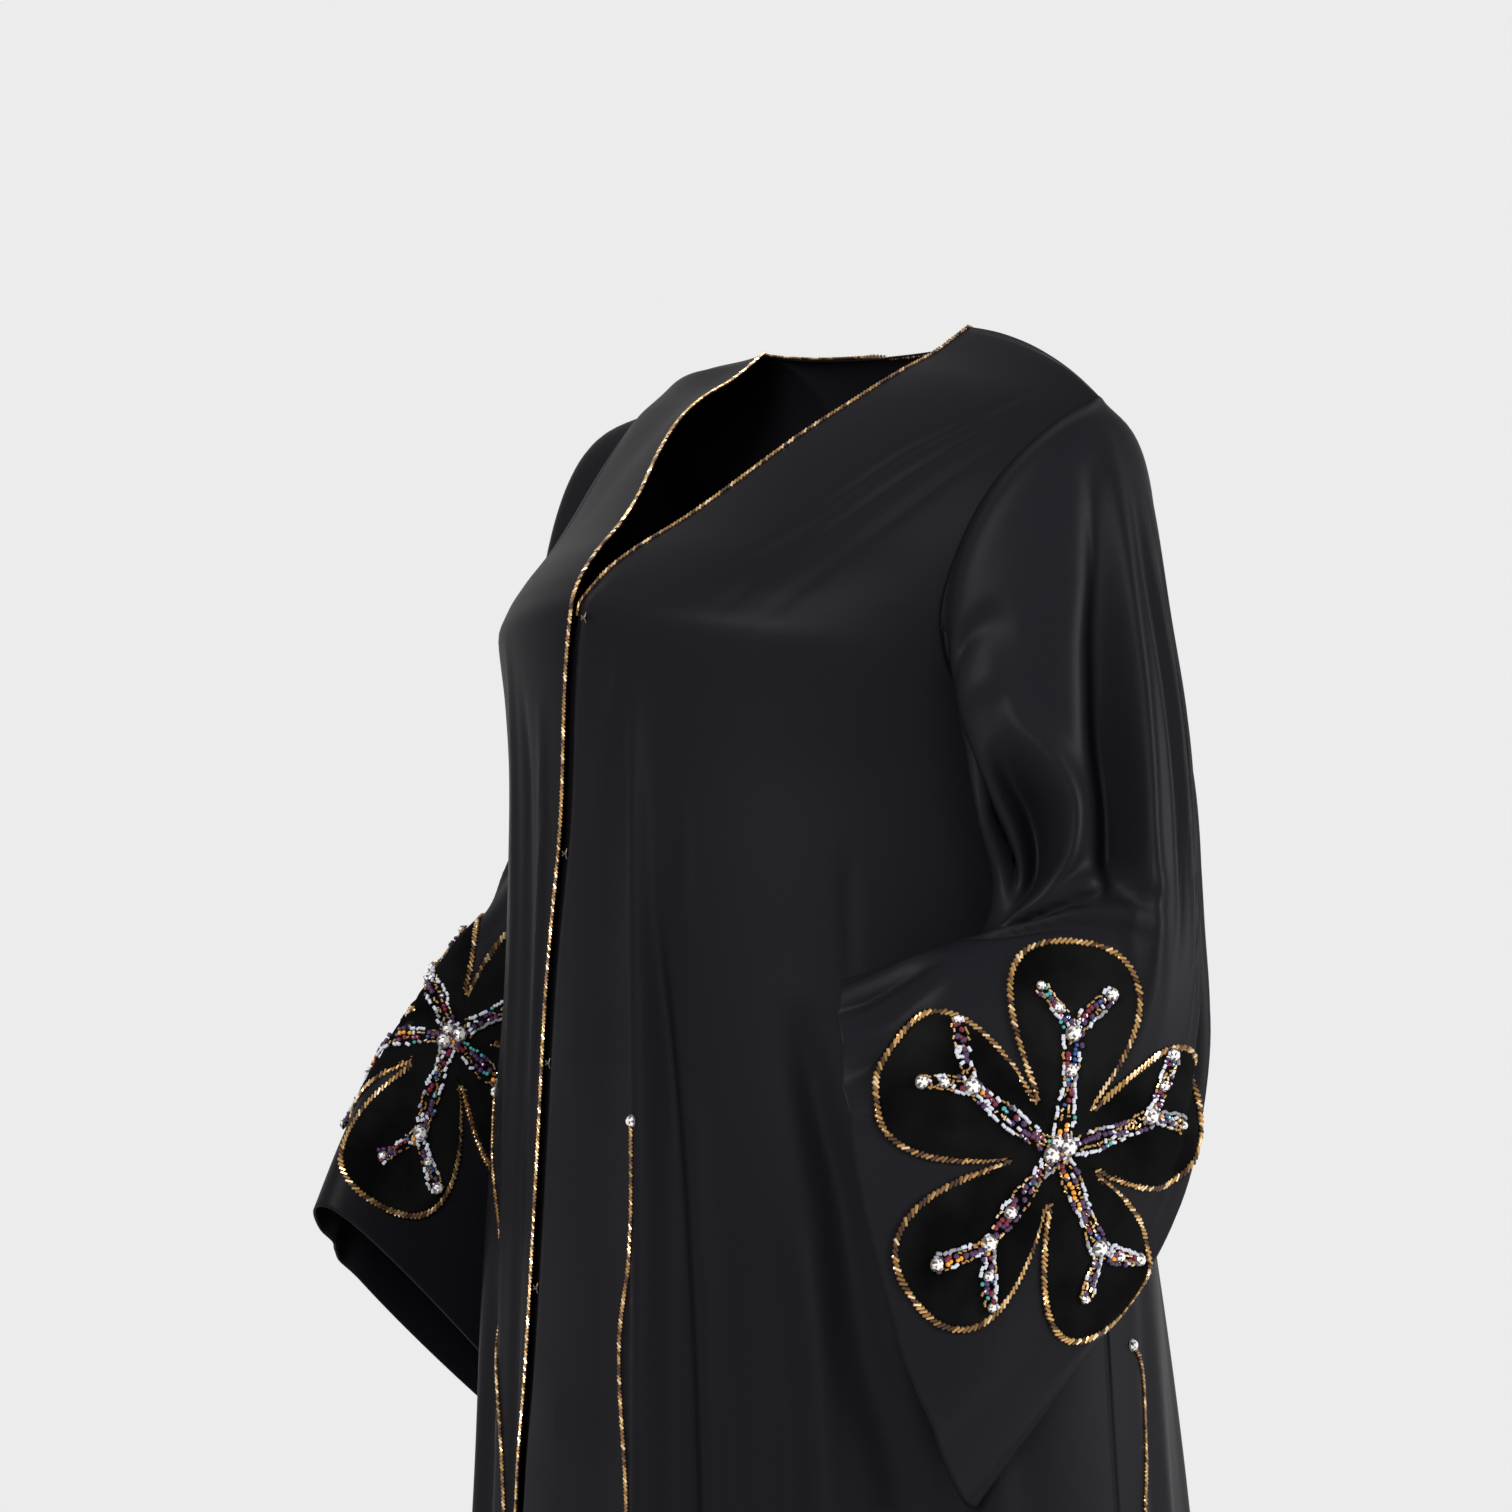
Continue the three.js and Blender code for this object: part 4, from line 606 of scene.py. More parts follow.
class Cloth:
    """A cloth grid, with places (i, j) on it that may lie between its own rows and columns."""

    def __init__(self, grid, sign, around=False):
        self.grid, self.around = grid, around
        self.normals = grid_normals(grid, around, sign)

    def pick(self, values, i, j):
        """The value at a place, from a grid of values."""
        i, j = np.asarray(i, float), np.asarray(j, float)
        rows, cols = values.shape[:2]
        i0 = np.clip(np.floor(i).astype(int), 0, rows - 2)
        j0 = np.floor(j).astype(int)
        if not self.around:
            j0 = np.clip(j0, 0, cols - 2)
        fi, fj = (i - i0)[..., None], (j - j0)[..., None]
        top = mix(values[i0, j0 % cols], values[i0, (j0 + 1) % cols], fj)
        low = mix(values[i0 + 1, j0 % cols], values[i0 + 1, (j0 + 1) % cols], fj)
        return mix(top, low, fi)

    def normal(self, i, j):
        return unit(self.pick(self.normals, i, j))

    def over(self, i, j, distance):
        """The point at a distance above a place."""
        return self.pick(self.grid, i, j) + self.normal(i, j) * np.asarray(distance)[..., None]

    def shift(self, i, j, step):
        """The place reached by a small step over the cloth."""
        h = PROBE
        di = (self.pick(self.grid, i + h, j) - self.pick(self.grid, i - h, j)) / (2 * h)
        dj = (self.pick(self.grid, i, j + h) - self.pick(self.grid, i, j - h)) / (2 * h)
        a, b, c = (di * di).sum(-1), (di * dj).sum(-1), (dj * dj).sum(-1)
        u, v = (step * di).sum(-1), (step * dj).sum(-1)
        det = a * c - b * b
        return i + (c * u - b * v) / det, j + (a * v - b * u) / det

    def nearest(self, target):
        """The grid's own place next to a point."""
        gap = np.linalg.norm(self.grid - np.array(target, float), axis=-1)
        i, j = np.unravel_index(np.argmin(gap), gap.shape)
        return float(i), float(j)

    def walk(self, i, j, heading, length, bend=0.0):
        """Walks over the cloth, turning by bend degrees in all; gives the places passed, one row a step."""
        limit = len(self.grid) - 1 - CUFF_MARGIN
        i, j = i + 0.0 * heading[..., 0], j + 0.0 * heading[..., 0]
        passed, headings = [(i, j)], [heading]
        for _ in range(int(round(length / STEP))):
            next_i, next_j = self.shift(i, j, heading * STEP)
            going = (next_i < limit) & (next_i > 1)
            i, j = np.where(going, next_i, i), np.where(going, next_j, j)
            normal = self.normal(i, j)
            heading = unit(heading - normal * (heading * normal).sum(-1, keepdims=True))
            heading = unit(heading + np.cross(normal, heading) * math.radians(bend) * STEP / length)
            passed.append((i, j))
            headings.append(heading)
        places = np.array(passed)
        return places[:, 0], places[:, 1], np.array(headings)

    def directions(self, i, j, angles):
        """Directions on the cloth, measured from the right and up as seen from outside."""
        normal = self.normal(i, j)
        up = unit(np.array([0, 0, 1.0]) - normal * normal[2])
        right = np.cross(up, normal)
        a = np.radians(np.asarray(angles, float))[..., None]
        return right * np.cos(a) + up * np.sin(a)


left_front = Cloth(front_grid(1), -1)
right_front = Cloth(front_grid(-1), 1)
for front in (left_front, right_front):
    front.normals[0] = front.normals[1]
back = Cloth(back_grid(), -1)
left_loop = armhole_loop(1, left_front, back)
right_loop = armhole_loop(-1, right_front, back)
left_sleeve = Cloth(sleeve_grid(1, LEFT_RINGS, *left_loop, LEFT_ALONG, LEFT_AROUND), 1, around=True)
right_sleeve = Cloth(sleeve_grid(-1, RIGHT_RINGS, *right_loop, RIGHT_ALONG, RIGHT_AROUND), -1, around=True)


# Materials.

VARY_SPAN = (0.35, 0.65)  # the part of the noise over which the tone changes


def shader_inputs(material):
    return material.node_tree.nodes["Principled BSDF"].inputs


def new_material(name, color, roughness, **inputs):
    """A material; other inputs of its shader are named with _ for a space."""
    material = bpy.data.materials.new(name)
    material.use_nodes = True
    shader_inputs(material)["Base Color"].default_value = (*color, 1)
    shader_inputs(material)["Roughness"].default_value = roughness
    for key, value in inputs.items():
        shader_inputs(material)[key.replace("_", " ")].default_value = value
    return material


def add_node(material, kind, **values):
    node = material.node_tree.nodes.new(kind)
    for key, value in values.items():
        node.inputs[key].default_value = value
    return node


def add_noise(material, scale, detail, stretch):
    """Noise that stays with the object's own coordinates."""
    links = material.node_tree.links
    place = add_node(material, "ShaderNodeTexCoord")
    mapping = add_node(material, "ShaderNodeMapping", Scale=stretch)
    noise = add_node(material, "ShaderNodeTexNoise", Scale=scale, Detail=detail)
    links.new(place.outputs["Object"], mapping.inputs["Vector"])
    links.new(mapping.outputs["Vector"], noise.inputs["Vector"])
    return noise.outputs["Fac"]


def vary(material, low, high, scale, stretch=(1, 1, 1)):
    """Lets the base colour drift between two tones over the surface."""
    noise = add_noise(material, scale, 3.0, stretch)
    ramp = add_node(material, "ShaderNodeValToRGB")
    for element, tone, position in zip(ramp.color_ramp.elements, (low, high), VARY_SPAN):
        element.color = (*tone, 1)
        element.position = position
    material.node_tree.links.new(noise, ramp.inputs["Fac"])
    material.node_tree.links.new(ramp.outputs["Color"], shader_inputs(material)["Base Color"])


def grain(material, scale, distance, strength):
    """A fine raised texture, such as a weave or a pile."""
    noise = add_noise(material, scale, 2.0, (1, 1, 1))
    raised = add_node(material, "ShaderNodeBump", Strength=strength, Distance=distance)
    material.node_tree.links.new(noise, raised.inputs["Height"])
    material.node_tree.links.new(raised.outputs["Normal"], shader_inputs(material)["Normal"])


crepe = new_material("crepe", (0.0046, 0.0043, 0.0056), 0.46, Specular_IOR_Level=0.04)
vary(crepe, (0.004, 0.0037, 0.0049), (0.0052, 0.0049, 0.0063), 5, stretch=(1, 1, 0.3))
grain(crepe, 1500, 0.00025, 0.5)
velvet = new_material(
    "velvet", (0.002, 0.002, 0.002), 0.9,
    Specular_IOR_Level=0.02, Sheen_Weight=0.006, Sheen_Roughness=0.4,
)
# The lighter patches of this drift are painted sheen of the pile, in the base colour.
vary(velvet, (0.0008, 0.0008, 0.0009), (0.0045, 0.0042, 0.0045), 16)
grain(velvet, 900, 0.0006, 0.7)

GOLD_TONES = [
    new_material("gold_bright", (0.78, 0.58, 0.33), 0.18, Metallic=0.85),
    new_material("gold_amber", (0.4, 0.24, 0.09), 0.2, Metallic=0.75),
    new_material("gold_bronze", (0.2, 0.11, 0.045), 0.22, Metallic=0.7),
    new_material("gold_dark", (0.06, 0.032, 0.016), 0.22, Metallic=0.6),
]
BEAD_TONES = {
    "white": new_material("bead_white", (0.34, 0.35, 0.39), 0.3),
    "clear": new_material("bead_clear", (0.2, 0.2, 0.22), 0.1, Metallic=0.3),
    "gold": GOLD_TONES[1],
    "bright": GOLD_TONES[0],
    "purple": new_material("bead_purple", (0.035, 0.016, 0.045), 0.1),
    "maroon": new_material("bead_maroon", (0.09, 0.008, 0.02), 0.1),
    "orange": new_material("bead_orange", (0.5, 0.2, 0.02), 0.12),
    "teal": new_material("bead_teal", (0.04, 0.2, 0.2), 0.1),
    "blue": new_material("bead_blue", (0.015, 0.05, 0.16), 0.1),
    # Two materials of the clear stones: a painted glint and a painted dark reflection on alternate facets.
    "facet_painted_glint": new_material("stone_painted_glint", (0.66, 0.64, 0.62), 0.08, Metallic=0.5),
    "facet_painted_dark_reflection": new_material("stone_painted_dark_reflection", (0.1, 0.09, 0.085), 0.1, Metallic=0.5),
}
hook_metal = new_material("hook_metal", (0.12, 0.1, 0.08), 0.35, Metallic=0.9)


# Meshes.


def add_object(name, data):
    """An object of the scene that shows a mesh, curve, light or camera."""
    obj = bpy.data.objects.new(name, data)
    bpy.context.scene.collection.objects.link(obj)
    return obj


def mesh_object(name, vertices, faces, materials, face_materials=None, smooth=False):
    """An object from points in millimetres."""
    mesh = bpy.data.meshes.new(name)
    mesh.from_pydata(np.asarray(vertices, float) * MM, [], faces)
    for material in materials:
        mesh.materials.append(material)
    if face_materials is not None:
        mesh.polygons.foreach_set("material_index", np.asarray(face_materials, np.int32))
    mesh.polygons.foreach_set("use_smooth", np.full(len(mesh.polygons), smooth))
    return add_object(name, mesh)


def finish_piece(obj, slot, *nodes):
    """Puts a piece on the part's one body and hides the solids it stands for; slot is not used."""
    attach(obj, "root")
    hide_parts(*nodes)
    return obj


def cloth_piece(name, cloth, flip):
    """A cloth piece: the skin as a mesh, its wall as a modifier. It stands for the solid of its name."""
    rows, cols = cloth.grid.shape[:2]
    last = cols if cloth.around else cols - 1
    i, j = np.meshgrid(np.arange(rows - 1), np.arange(last), indexing="ij")
    a = i * cols + j
    b = i * cols + (j + 1) % cols
    faces = np.stack([a, b, b + cols, a + cols], -1).reshape(-1, 4)
    if flip:
        faces = faces[:, ::-1]
    obj = mesh_object(f"robe_{name}", cloth.grid.reshape(-1, 3), faces.tolist(), [crepe], smooth=True)
    solid = obj.modifiers.new("wall", "SOLIDIFY")
    solid.thickness = WALL * MM
    solid.offset = 0
    return finish_piece(obj, "crepe", name)


front_left = cloth_piece("front_left", left_front, flip=True)
front_right = cloth_piece("front_right", right_front, flip=False)
back_panel = cloth_piece("back", back, flip=True)
sleeve_left = cloth_piece("sleeve_left", left_sleeve, flip=False)
sleeve_right = cloth_piece("sleeve_right", right_sleeve, flip=True)


# Beads: many copies of one small form, joined into one mesh.


def turned_form(profile, sides):
    """Points and faces of a closed form turned about the X axis, from (x, radius) pairs."""
    angle = np.arange(sides) * 2 * math.pi / sides
    rings = [np.stack([np.full(sides, x), r * np.cos(angle), r * np.sin(angle)], -1) for x, r in profile]
    vertices = np.concatenate(rings)
    faces = []
    for k in range(len(profile) - 1):
        for m in range(sides):
            n = (m + 1) % sides
            faces.append((k * sides + m, (k + 1) * sides + m, (k + 1) * sides + n, k * sides + n))
    last = (len(profile) - 1) * sides
    faces += [tuple(range(sides)), tuple(last + m for m in reversed(range(sides)))]
    return vertices, faces


BUGLE = turned_form([(-0.5, 0.3), (-0.42, 0.5), (0.42, 0.5), (0.5, 0.3)], 6)
SEED = turned_form([(-0.5, 0.22), (-0.28, 0.45), (0, 0.52), (0.28, 0.45), (0.5, 0.22)], 6)


def stone_form(sides):
    """Points, faces and tones of a round cut stone, Z up: a short skirt, a crown and a flat top. Tone 0 takes
    a painted glint, tone 1 a painted dark reflection.
    """
    angle = np.arange(sides) * 2 * math.pi / sides
    half = angle + math.pi / sides
    rings = [(0.0, 0.57, angle), (0.12, 0.48, angle), (0.34, 0.36, half), (0.42, 0.22, angle)]
    circles = [np.stack([r * np.cos(a), r * np.sin(a), np.full(sides, z)], -1) for z, r, a in rings]
    faces, tones = [], []
    for m in range(sides):
        n = (m + 1) % sides
        faces.append((m, n, sides + n, sides + m))
        tones.append(1)
        for k, shift in ((1, 0), (2, 1)):
            low, high = k * sides, (k + 1) * sides
            nearer = high + (m if shift == 0 else n)
            faces.append((low + m, low + n, nearer))
            faces.append((low + n, high + n, high + m) if shift == 0 else (low + m, high + n, high + m))
            tones += [(m + k) % 2, (m + k + 1) % 3 == 0]
    faces.append(tuple(3 * sides + m for m in range(sides)))
    tones.append(0)
    return np.concatenate(circles), faces, tones


STONE = stone_form(sides=10)


class BeadMesh:
    """Collects beads and stones, then makes them one object."""

    def __init__(self, name, materials):
        self.name, self.materials = name, materials
        self.vertices, self.faces, self.indices, self.count = [], [], [], 0

    def add(self, form, places, along, up, length, width, tone):
        """Beads at places, each lying along its own direction."""
        shape, faces = form
        x = unit(along)
        z = unit(up - x * (up * x).sum(-1, keepdims=True))
        y = np.cross(z, x)
        sizes = [np.broadcast_to(np.asarray(size, float), len(places)) for size in (length, width, width)]
        points = places[:, None]
        for k, (axis, size) in enumerate(zip((x, y, z), sizes)):
            points = points + axis[:, None] * (shape[None, :, k : k + 1] * size[:, None, None])
        for k, tone_k in enumerate(np.broadcast_to(tone, len(places))):
            start = self.count + k * len(shape)
            for face in faces:
                self.faces.append(tuple(start + v for v in face))
                self.indices.append(int(tone_k))
        self.vertices.append(points.reshape(-1, 3))
        self.count += len(places) * len(shape)

    def add_stone(self, place, normal, width, light, dark, turn=0.0):
        """A stone of some width; its facets carry painted reflections, light a painted glint and dark a
        painted dark reflection.
        """
        shape, faces, tones = STONE
        z = unit(normal)
        x = unit(np.cross([0.3, 0.2, 1.0], z))
        x = x * math.cos(turn) + np.cross(z, x) * math.sin(turn)
        y = np.cross(z, x)
        self.vertices.append(place + (shape[:, :1] * x + shape[:, 1:2] * y + shape[:, 2:] * z) * width)
        for face, tone in zip(faces, tones):
            self.faces.append(tuple(self.count + v for v in face))
            self.indices.append(dark if tone else light)
        self.count += len(shape)

    def finished(self, slot, *nodes):
        points = np.concatenate(self.vertices)
        obj = mesh_object(self.name, points, self.faces, self.materials, self.indices)
        return finish_piece(obj, slot, *nodes)


# The gold rope. Each bead has its own slant, tilt, size and tone.
ROPE = {"length": 4.1, "width": 1.8, "pitch": 2.5, "slant": 38, "scatter": 7, "tilt": 0.06}
ROPE_SIZES = (0.9, 1.08)
GOLD_SHARES = [0.16, 0.32, 0.3, 0.22]
OUTLINE_SCALE = 1.3  # the rope round the flowers is this much thicker than the rest
EDGE_GAP = 1.0  # from a cloth edge out to the middle of its rope
EDGE_RISE = 1.2


def rope_beads(beads, points, normals, closed=False, slant_sign=1, scale=1.0):
    """Slanted bugle beads laid close together along a run of points."""
    length = np.linalg.norm(np.diff(points, axis=0), axis=1).sum()
    places, up, _, _ = resampled(points, normals, max(3, int(length / ROPE["pitch"] / scale)), closed)
    up = unit(up)
    along = unit(np.gradient(places, axis=0))
    side = np.cross(up, along)
    count = len(places)
    slant = np.radians(slant_sign * ROPE["slant"] + rng.normal(0, ROPE["scatter"], count))[:, None]
    way = along * np.cos(slant) + side * np.sin(slant) + up * rng.normal(0, ROPE["tilt"], (count, 1))
    tone = rng.choice(len(GOLD_TONES), count, p=GOLD_SHARES)
    size = scale * ROPE["length"] * rng.uniform(*ROPE_SIZES, count)
    beads.add(BUGLE, places, way, up, size, scale * ROPE["width"], tone)


def edge_trim(name, cloth, place, sign, slant_sign=1):
    """A rope just outside a cloth edge; sign says on which side the outside is."""
    points, normals = cloth.grid[place], cloth.normals[place]
    out = unit(np.cross(unit(np.gradient(points, axis=0)), normals)) * sign
    beads = BeadMesh(f"gold_{name}", GOLD_TONES)
    rope_beads(beads, points + out * EDGE_GAP + normals * EDGE_RISE, normals, slant_sign=slant_sign)
    return beads.finished("gold_beads", f"trim_{name}")


NECK_EDGE = (slice(None, V_ROW + 1), 0)
FRONT_EDGE = (slice(V_ROW, None), 0)
NAPE = (0, np.where(np.abs(back.grid[0, :, 0]) < NECK["x"] + 0.5)[0])
neck_left = edge_trim("neck_left", left_front, NECK_EDGE, 1)
neck_right = edge_trim("neck_right", right_front, NECK_EDGE, -1, slant_sign=-1)
front_edge = edge_trim("front_edge", right_front, FRONT_EDGE, -1)
neck_back = edge_trim("neck_back", back, NAPE, -1)


# Velvet flowers with their gold outline and beaded sprays.

FLOWER_RADIUS = 126
FLOWER_NOTCH = 0.26  # where two petals part, as a share of the radius
FLOWER_DIRECTIONS = [8, 80, 152, 224, 296]
HALF_PETAL = 36
PETAL_SHARE = 0.91  # of its 72 degrees that a petal fills; the gold line turns back in the rest
PETAL_POINTS = 45
PETAL_BUNCH = 2.2  # how much closer the points are at a petal's sides
PETAL_ROUND = (3.4, 0.6)  # powers that give the petal its broad, round end
VELVET_THICK = 2.2
VELVET_BASE = WALL / 2 + 0.15
VELVET_NAP = 0.35
NAP_WAVES = (0.9, 0.7)  # along and across the cloth's rows
# Rings of the velvet: share of the way to the edge, and share of the thickness there.
VELVET_RINGS = [
    *[(0.08, 1), (0.2, 1), (0.34, 1), (0.5, 1), (0.65, 1), (0.8, 1)],
    *[(0.9, 0.92), (0.96, 0.7), (1, 0.25)],
]
OUTLINE_RISE = WALL / 2 + 1.3


def petal_rays(turn):
    """Angles and reaches of rays to the outline, closer together at a petal's sides."""
    t = np.linspace(-1, 1, PETAL_POINTS)[:-1]
    offs = HALF_PETAL * np.sign(t) * (1 - (1 - np.abs(t)) ** PETAL_BUNCH)
    side, end = PETAL_ROUND
    reach = FLOWER_NOTCH + (1 - FLOWER_NOTCH) * (1 - np.abs(offs / HALF_PETAL) ** side) ** end
    angles = np.concatenate([turn(direction + offs * PETAL_SHARE) for direction in FLOWER_DIRECTIONS])
    return angles, np.tile(FLOWER_RADIUS * reach, len(FLOWER_DIRECTIONS))


def ray_places(cloth, centre, angles, reaches, shares):
    """Places at shares of the reach along straight rays from the centre."""
    i, j, _ = cloth.walk(*centre, cloth.directions(*centre, angles), FLOWER_RADIUS + 3 * STEP)
    steps = np.arange(len(i)) * STEP
    at = shares[:, None] * reaches[None, :]
    return [np.stack([np.interp(a, steps, row) for a, row in zip(at.T, way.T)], -1) for way in (i, j)]


def velvet_flower(name, cloth, centre, turn):
    """A velvet patch with its nap, and the places of its rim."""
    angles, reaches = petal_rays(turn)
    shares, edge = np.array(VELVET_RINGS).T
    i, j = ray_places(cloth, centre, angles, reaches, shares)
    nap = VELVET_NAP * np.sin(i * NAP_WAVES[0]) * np.sin(j * NAP_WAVES[1])
    top = cloth.over(i, j, VELVET_BASE + (VELVET_THICK + nap) * edge[:, None])
    low = cloth.over(i, j, VELVET_BASE)
    middle = [cloth.over(*centre, VELVET_BASE + thick) for thick in (VELVET_THICK, 0)]
    rings, count = i.shape
    vertices = np.concatenate([top.reshape(-1, 3), low.reshape(-1, 3), middle])
    faces = []
    under, tip, last = rings * count, 2 * rings * count, (rings - 1) * count
    for k in range(count):
        m = (k + 1) % count
        faces += [(tip, k, m), (tip + 1, under + m, under + k)]
        for r in range(rings - 1):
            a, b, c, d = r * count + k, r * count + m, (r + 1) * count + m, (r + 1) * count + k
            faces += [(a, d, c, b), (under + a, under + b, under + c, under + d)]
        faces.append((last + k, under + last + k, under + last + m, last + m))
    if turn(0) != 0:
        faces = [face[::-1] for face in faces]
    patch = mesh_object(f"velvet_flower_{name}", vertices, faces, [velvet], smooth=True)
    return finish_piece(patch, "velvet", f"flower_{name}"), (i[-1], j[-1])


def outline_beads(name, cloth, rim):
    """The gold rope round a flower."""
    beads = BeadMesh(f"gold_outline_{name}", GOLD_TONES)
    rope_beads(beads, cloth.over(*rim, OUTLINE_RISE), cloth.normal(*rim), closed=True, scale=OUTLINE_SCALE)
    return beads.finished("gold_beads")


# What each bead of a spray may be: its tone, form, length, width and share.
RIM_BEADS = [
    ("white", "bugle", 3.5, 2.3, 0.42),
    ("clear", "bugle", 3.3, 2.2, 0.08),
    ("gold", "bugle", 2.7, 1.5, 0.26),
    ("bright", "bugle", 2.7, 1.5, 0.08),
    ("purple", "seed", 3.2, 3.2, 0.12),
    ("teal", "seed", 2.4, 2.4, 0.04),
]
CORE_BEADS = [
    ("purple", "seed", 3.7, 3.7, 0.28),
    ("maroon", "seed", 3.4, 3.4, 0.15),
    ("gold", "bugle", 2.7, 1.5, 0.24),
    ("bright", "bugle", 2.7, 1.5, 0.08),
    ("white", "bugle", 3.3, 2.2, 0.11),
    ("orange", "seed", 3, 3, 0.05),
    ("teal", "seed", 2.6, 2.6, 0.04),
    ("blue", "seed", 2.6, 2.6, 0.04),
]
FORMS = {"bugle": BUGLE, "seed": SEED}
TONE_NAMES = list(BEAD_TONES)
# The stones' two facet materials, a painted glint and a painted dark reflection.
PAINTED_FACETS = [TONE_NAMES.index("facet_painted_glint"), TONE_NAMES.index("facet_painted_dark_reflection")]
# A spray: shares of the radius to its fork and of its arms, angle of the arms, half width, bends in degrees.
SPRAY = {"fork": 0.55, "arm": 0.29, "spread": 34, "half": 5.2, "arm_half": 3.9, "bend": 14, "arm_bend": 12}
SPRAY_VARIES = {"spread": 5, "arm": 0.12}  # so the five sprays aren't alike
SPRAY_LIFT = WALL / 2 + VELVET_THICK + 1.2
# A branch: rows of beads across it, their pitch, swell of its width and how often, how far beads stray.
BRANCH = {"rows": (-1, -0.36, 0.36, 1), "pitch": 3.0, "swell": 0.22, "waves": 0.42, "stray": 0.5}
BEAD_RISES = (-0.3, 0.4)
BEAD_TURNS = {"rim": 20, "core": 55}
BEAD_SIZES = (0.88, 1.1)
CLUSTERING = 0.5  # how often a bead repeats the one before it
FILLED = 0.88  # share of the places that hold a bead
# Sizes of the stones: at the fork, on the stem, at the arms' tips and on the arms, and round the centre.
STONES = {"fork": 10, "stem": 8, "tips": (5.5, 8), "arm": 6.5, "centre": ((20, 11), (200, 10), (110, 8))}
STONE_RISE = 0.4


def branch_beads(beads, cloth, i, j, half):
    """Rows of beads along one branch: mostly white bugles on its rims, mixed beads between them."""
    count = max(3, int(len(i) * STEP / BRANCH["pitch"]))
    points, up, _, _ = resampled(cloth.over(i, j, SPRAY_LIFT), cloth.normal(i, j), count, False)
    up = unit(up)
    along = unit(np.gradient(points, axis=0))
    side = np.cross(up, along)
    phase = rng.uniform(0, 6)
    wave = np.sin(np.arange(count) * BRANCH["waves"] + phase)
    width_here = half * (1 + BRANCH["swell"] * wave)[:, None]
    for row in BRANCH["rows"]:
        rim = abs(row) == 1
        kinds = RIM_BEADS if rim else CORE_BEADS
        weights = np.array([kind[4] for kind in kinds])
        picked = rng.choice(len(kinds), count, p=weights / weights.sum())
        for place in range(1, count):
            if rng.random() < CLUSTERING:
                picked[place] = picked[place - 1]
        picked[rng.random(count) > FILLED] = -1
        for number, (tone, form, length, width, _) in enumerate(kinds):
            keep = picked == number
            n = int(keep.sum())
            if not n:
                continue
            aside = row * width_here[keep] + rng.normal(0, BRANCH["stray"], (n, 1))
            onward = rng.normal(0, BRANCH["stray"], (n, 1))
            spot = points[keep] + side[keep] * aside
            spot += along[keep] * onward + up[keep] * rng.uniform(*BEAD_RISES, (n, 1))
            angle = np.radians(rng.normal(0, BEAD_TURNS["rim" if rim else "core"], n))[:, None]
            way = along[keep] * np.cos(angle) + side[keep] * np.sin(angle)
            scale = rng.uniform(*BEAD_SIZES, n)
            beads.add(FORMS[form], spot, way, up[keep], length * scale, width * scale, TONE_NAMES.index(tone))


def part_way(i, j, parts, whole):
    """The place some parts of the whole way along a walk."""
    step = len(i) * parts // whole
    return i[step, 0], j[step, 0]


def spray_beads(name, cloth, centre, turn):
    """Five forked sprays of beads, with stones on them."""
    beads = BeadMesh(f"bead_spray_{name}", list(BEAD_TONES.values()))
    stones = []
    for number, direction in enumerate(FLOWER_DIRECTIONS):
        heading = cloth.directions(*centre, [turn(direction)])
        bend = SPRAY["bend"] * math.sin(2 * number + 1)
        i, j, headings = cloth.walk(*centre, heading, SPRAY["fork"] * FLOWER_RADIUS, bend)
        branch_beads(beads, cloth, i[:, 0], j[:, 0], SPRAY["half"])
        end_i, end_j = i[-1, 0], j[-1, 0]
        side = np.cross(cloth.normal(end_i, end_j), headings[-1, 0])
        stones.append((end_i, end_j, STONES["fork"]))
        stones.append((*part_way(i, j, 2, 3), STONES["stem"] if number % 2 else 0))
        for sign in (-1, 1):
            varied = SPRAY_VARIES["spread"] * math.sin(number * 2.1 + sign)
            spread = math.radians(sign * (SPRAY["spread"] + varied))
            arm_heading = headings[-1, 0] * math.cos(spread) + side * math.sin(spread)
            longer = SPRAY_VARIES["arm"] * math.sin(number * 1.7 + 2 * sign)
            arm = SPRAY["arm"] * FLOWER_RADIUS * (1 + longer)
            arm_i, arm_j, _ = cloth.walk(end_i, end_j, arm_heading[None, :], arm, SPRAY["arm_bend"] * sign)
            branch_beads(beads, cloth, arm_i[:, 0], arm_j[:, 0], SPRAY["arm_half"])
            stones.append((arm_i[-1, 0], arm_j[-1, 0], STONES["tips"][(number + (sign > 0)) % 2]))
            stones.append((*part_way(arm_i, arm_j, 1, 2), STONES["arm"] if sign > 0 else 0))
    for angle, size in STONES["centre"]:
        i, j, _ = cloth.walk(*centre, cloth.directions(*centre, [angle]), 3 * STEP)
        stones.append((i[-1, 0], j[-1, 0], size))
    for k, (i, j, size) in enumerate(stones):
        if size:
            place = cloth.over(i, j, SPRAY_LIFT + STONE_RISE)
            beads.add_stone(place, cloth.normal(i, j), size, *PAINTED_FACETS, turn=k * 0.7)
    return beads.finished("beads", f"beadwork_{name}")


def flower(name, cloth, turn, target):
    """One sleeve's flower; turn gives the angles as drawn on that sleeve."""
    centre = cloth.nearest(target)
    patch, rim = velvet_flower(name, cloth, centre, turn)
    return patch, outline_beads(name, cloth, rim), spray_beads(name, cloth, centre, turn)


left_flower = flower("left", left_sleeve, lambda angle: angle, (288, -69, -515))
right_flower = flower("right", right_sleeve, lambda angle: 180 - angle, (-236, -142, -476))


# Gold stems on the skirt, each with one stone at its top.

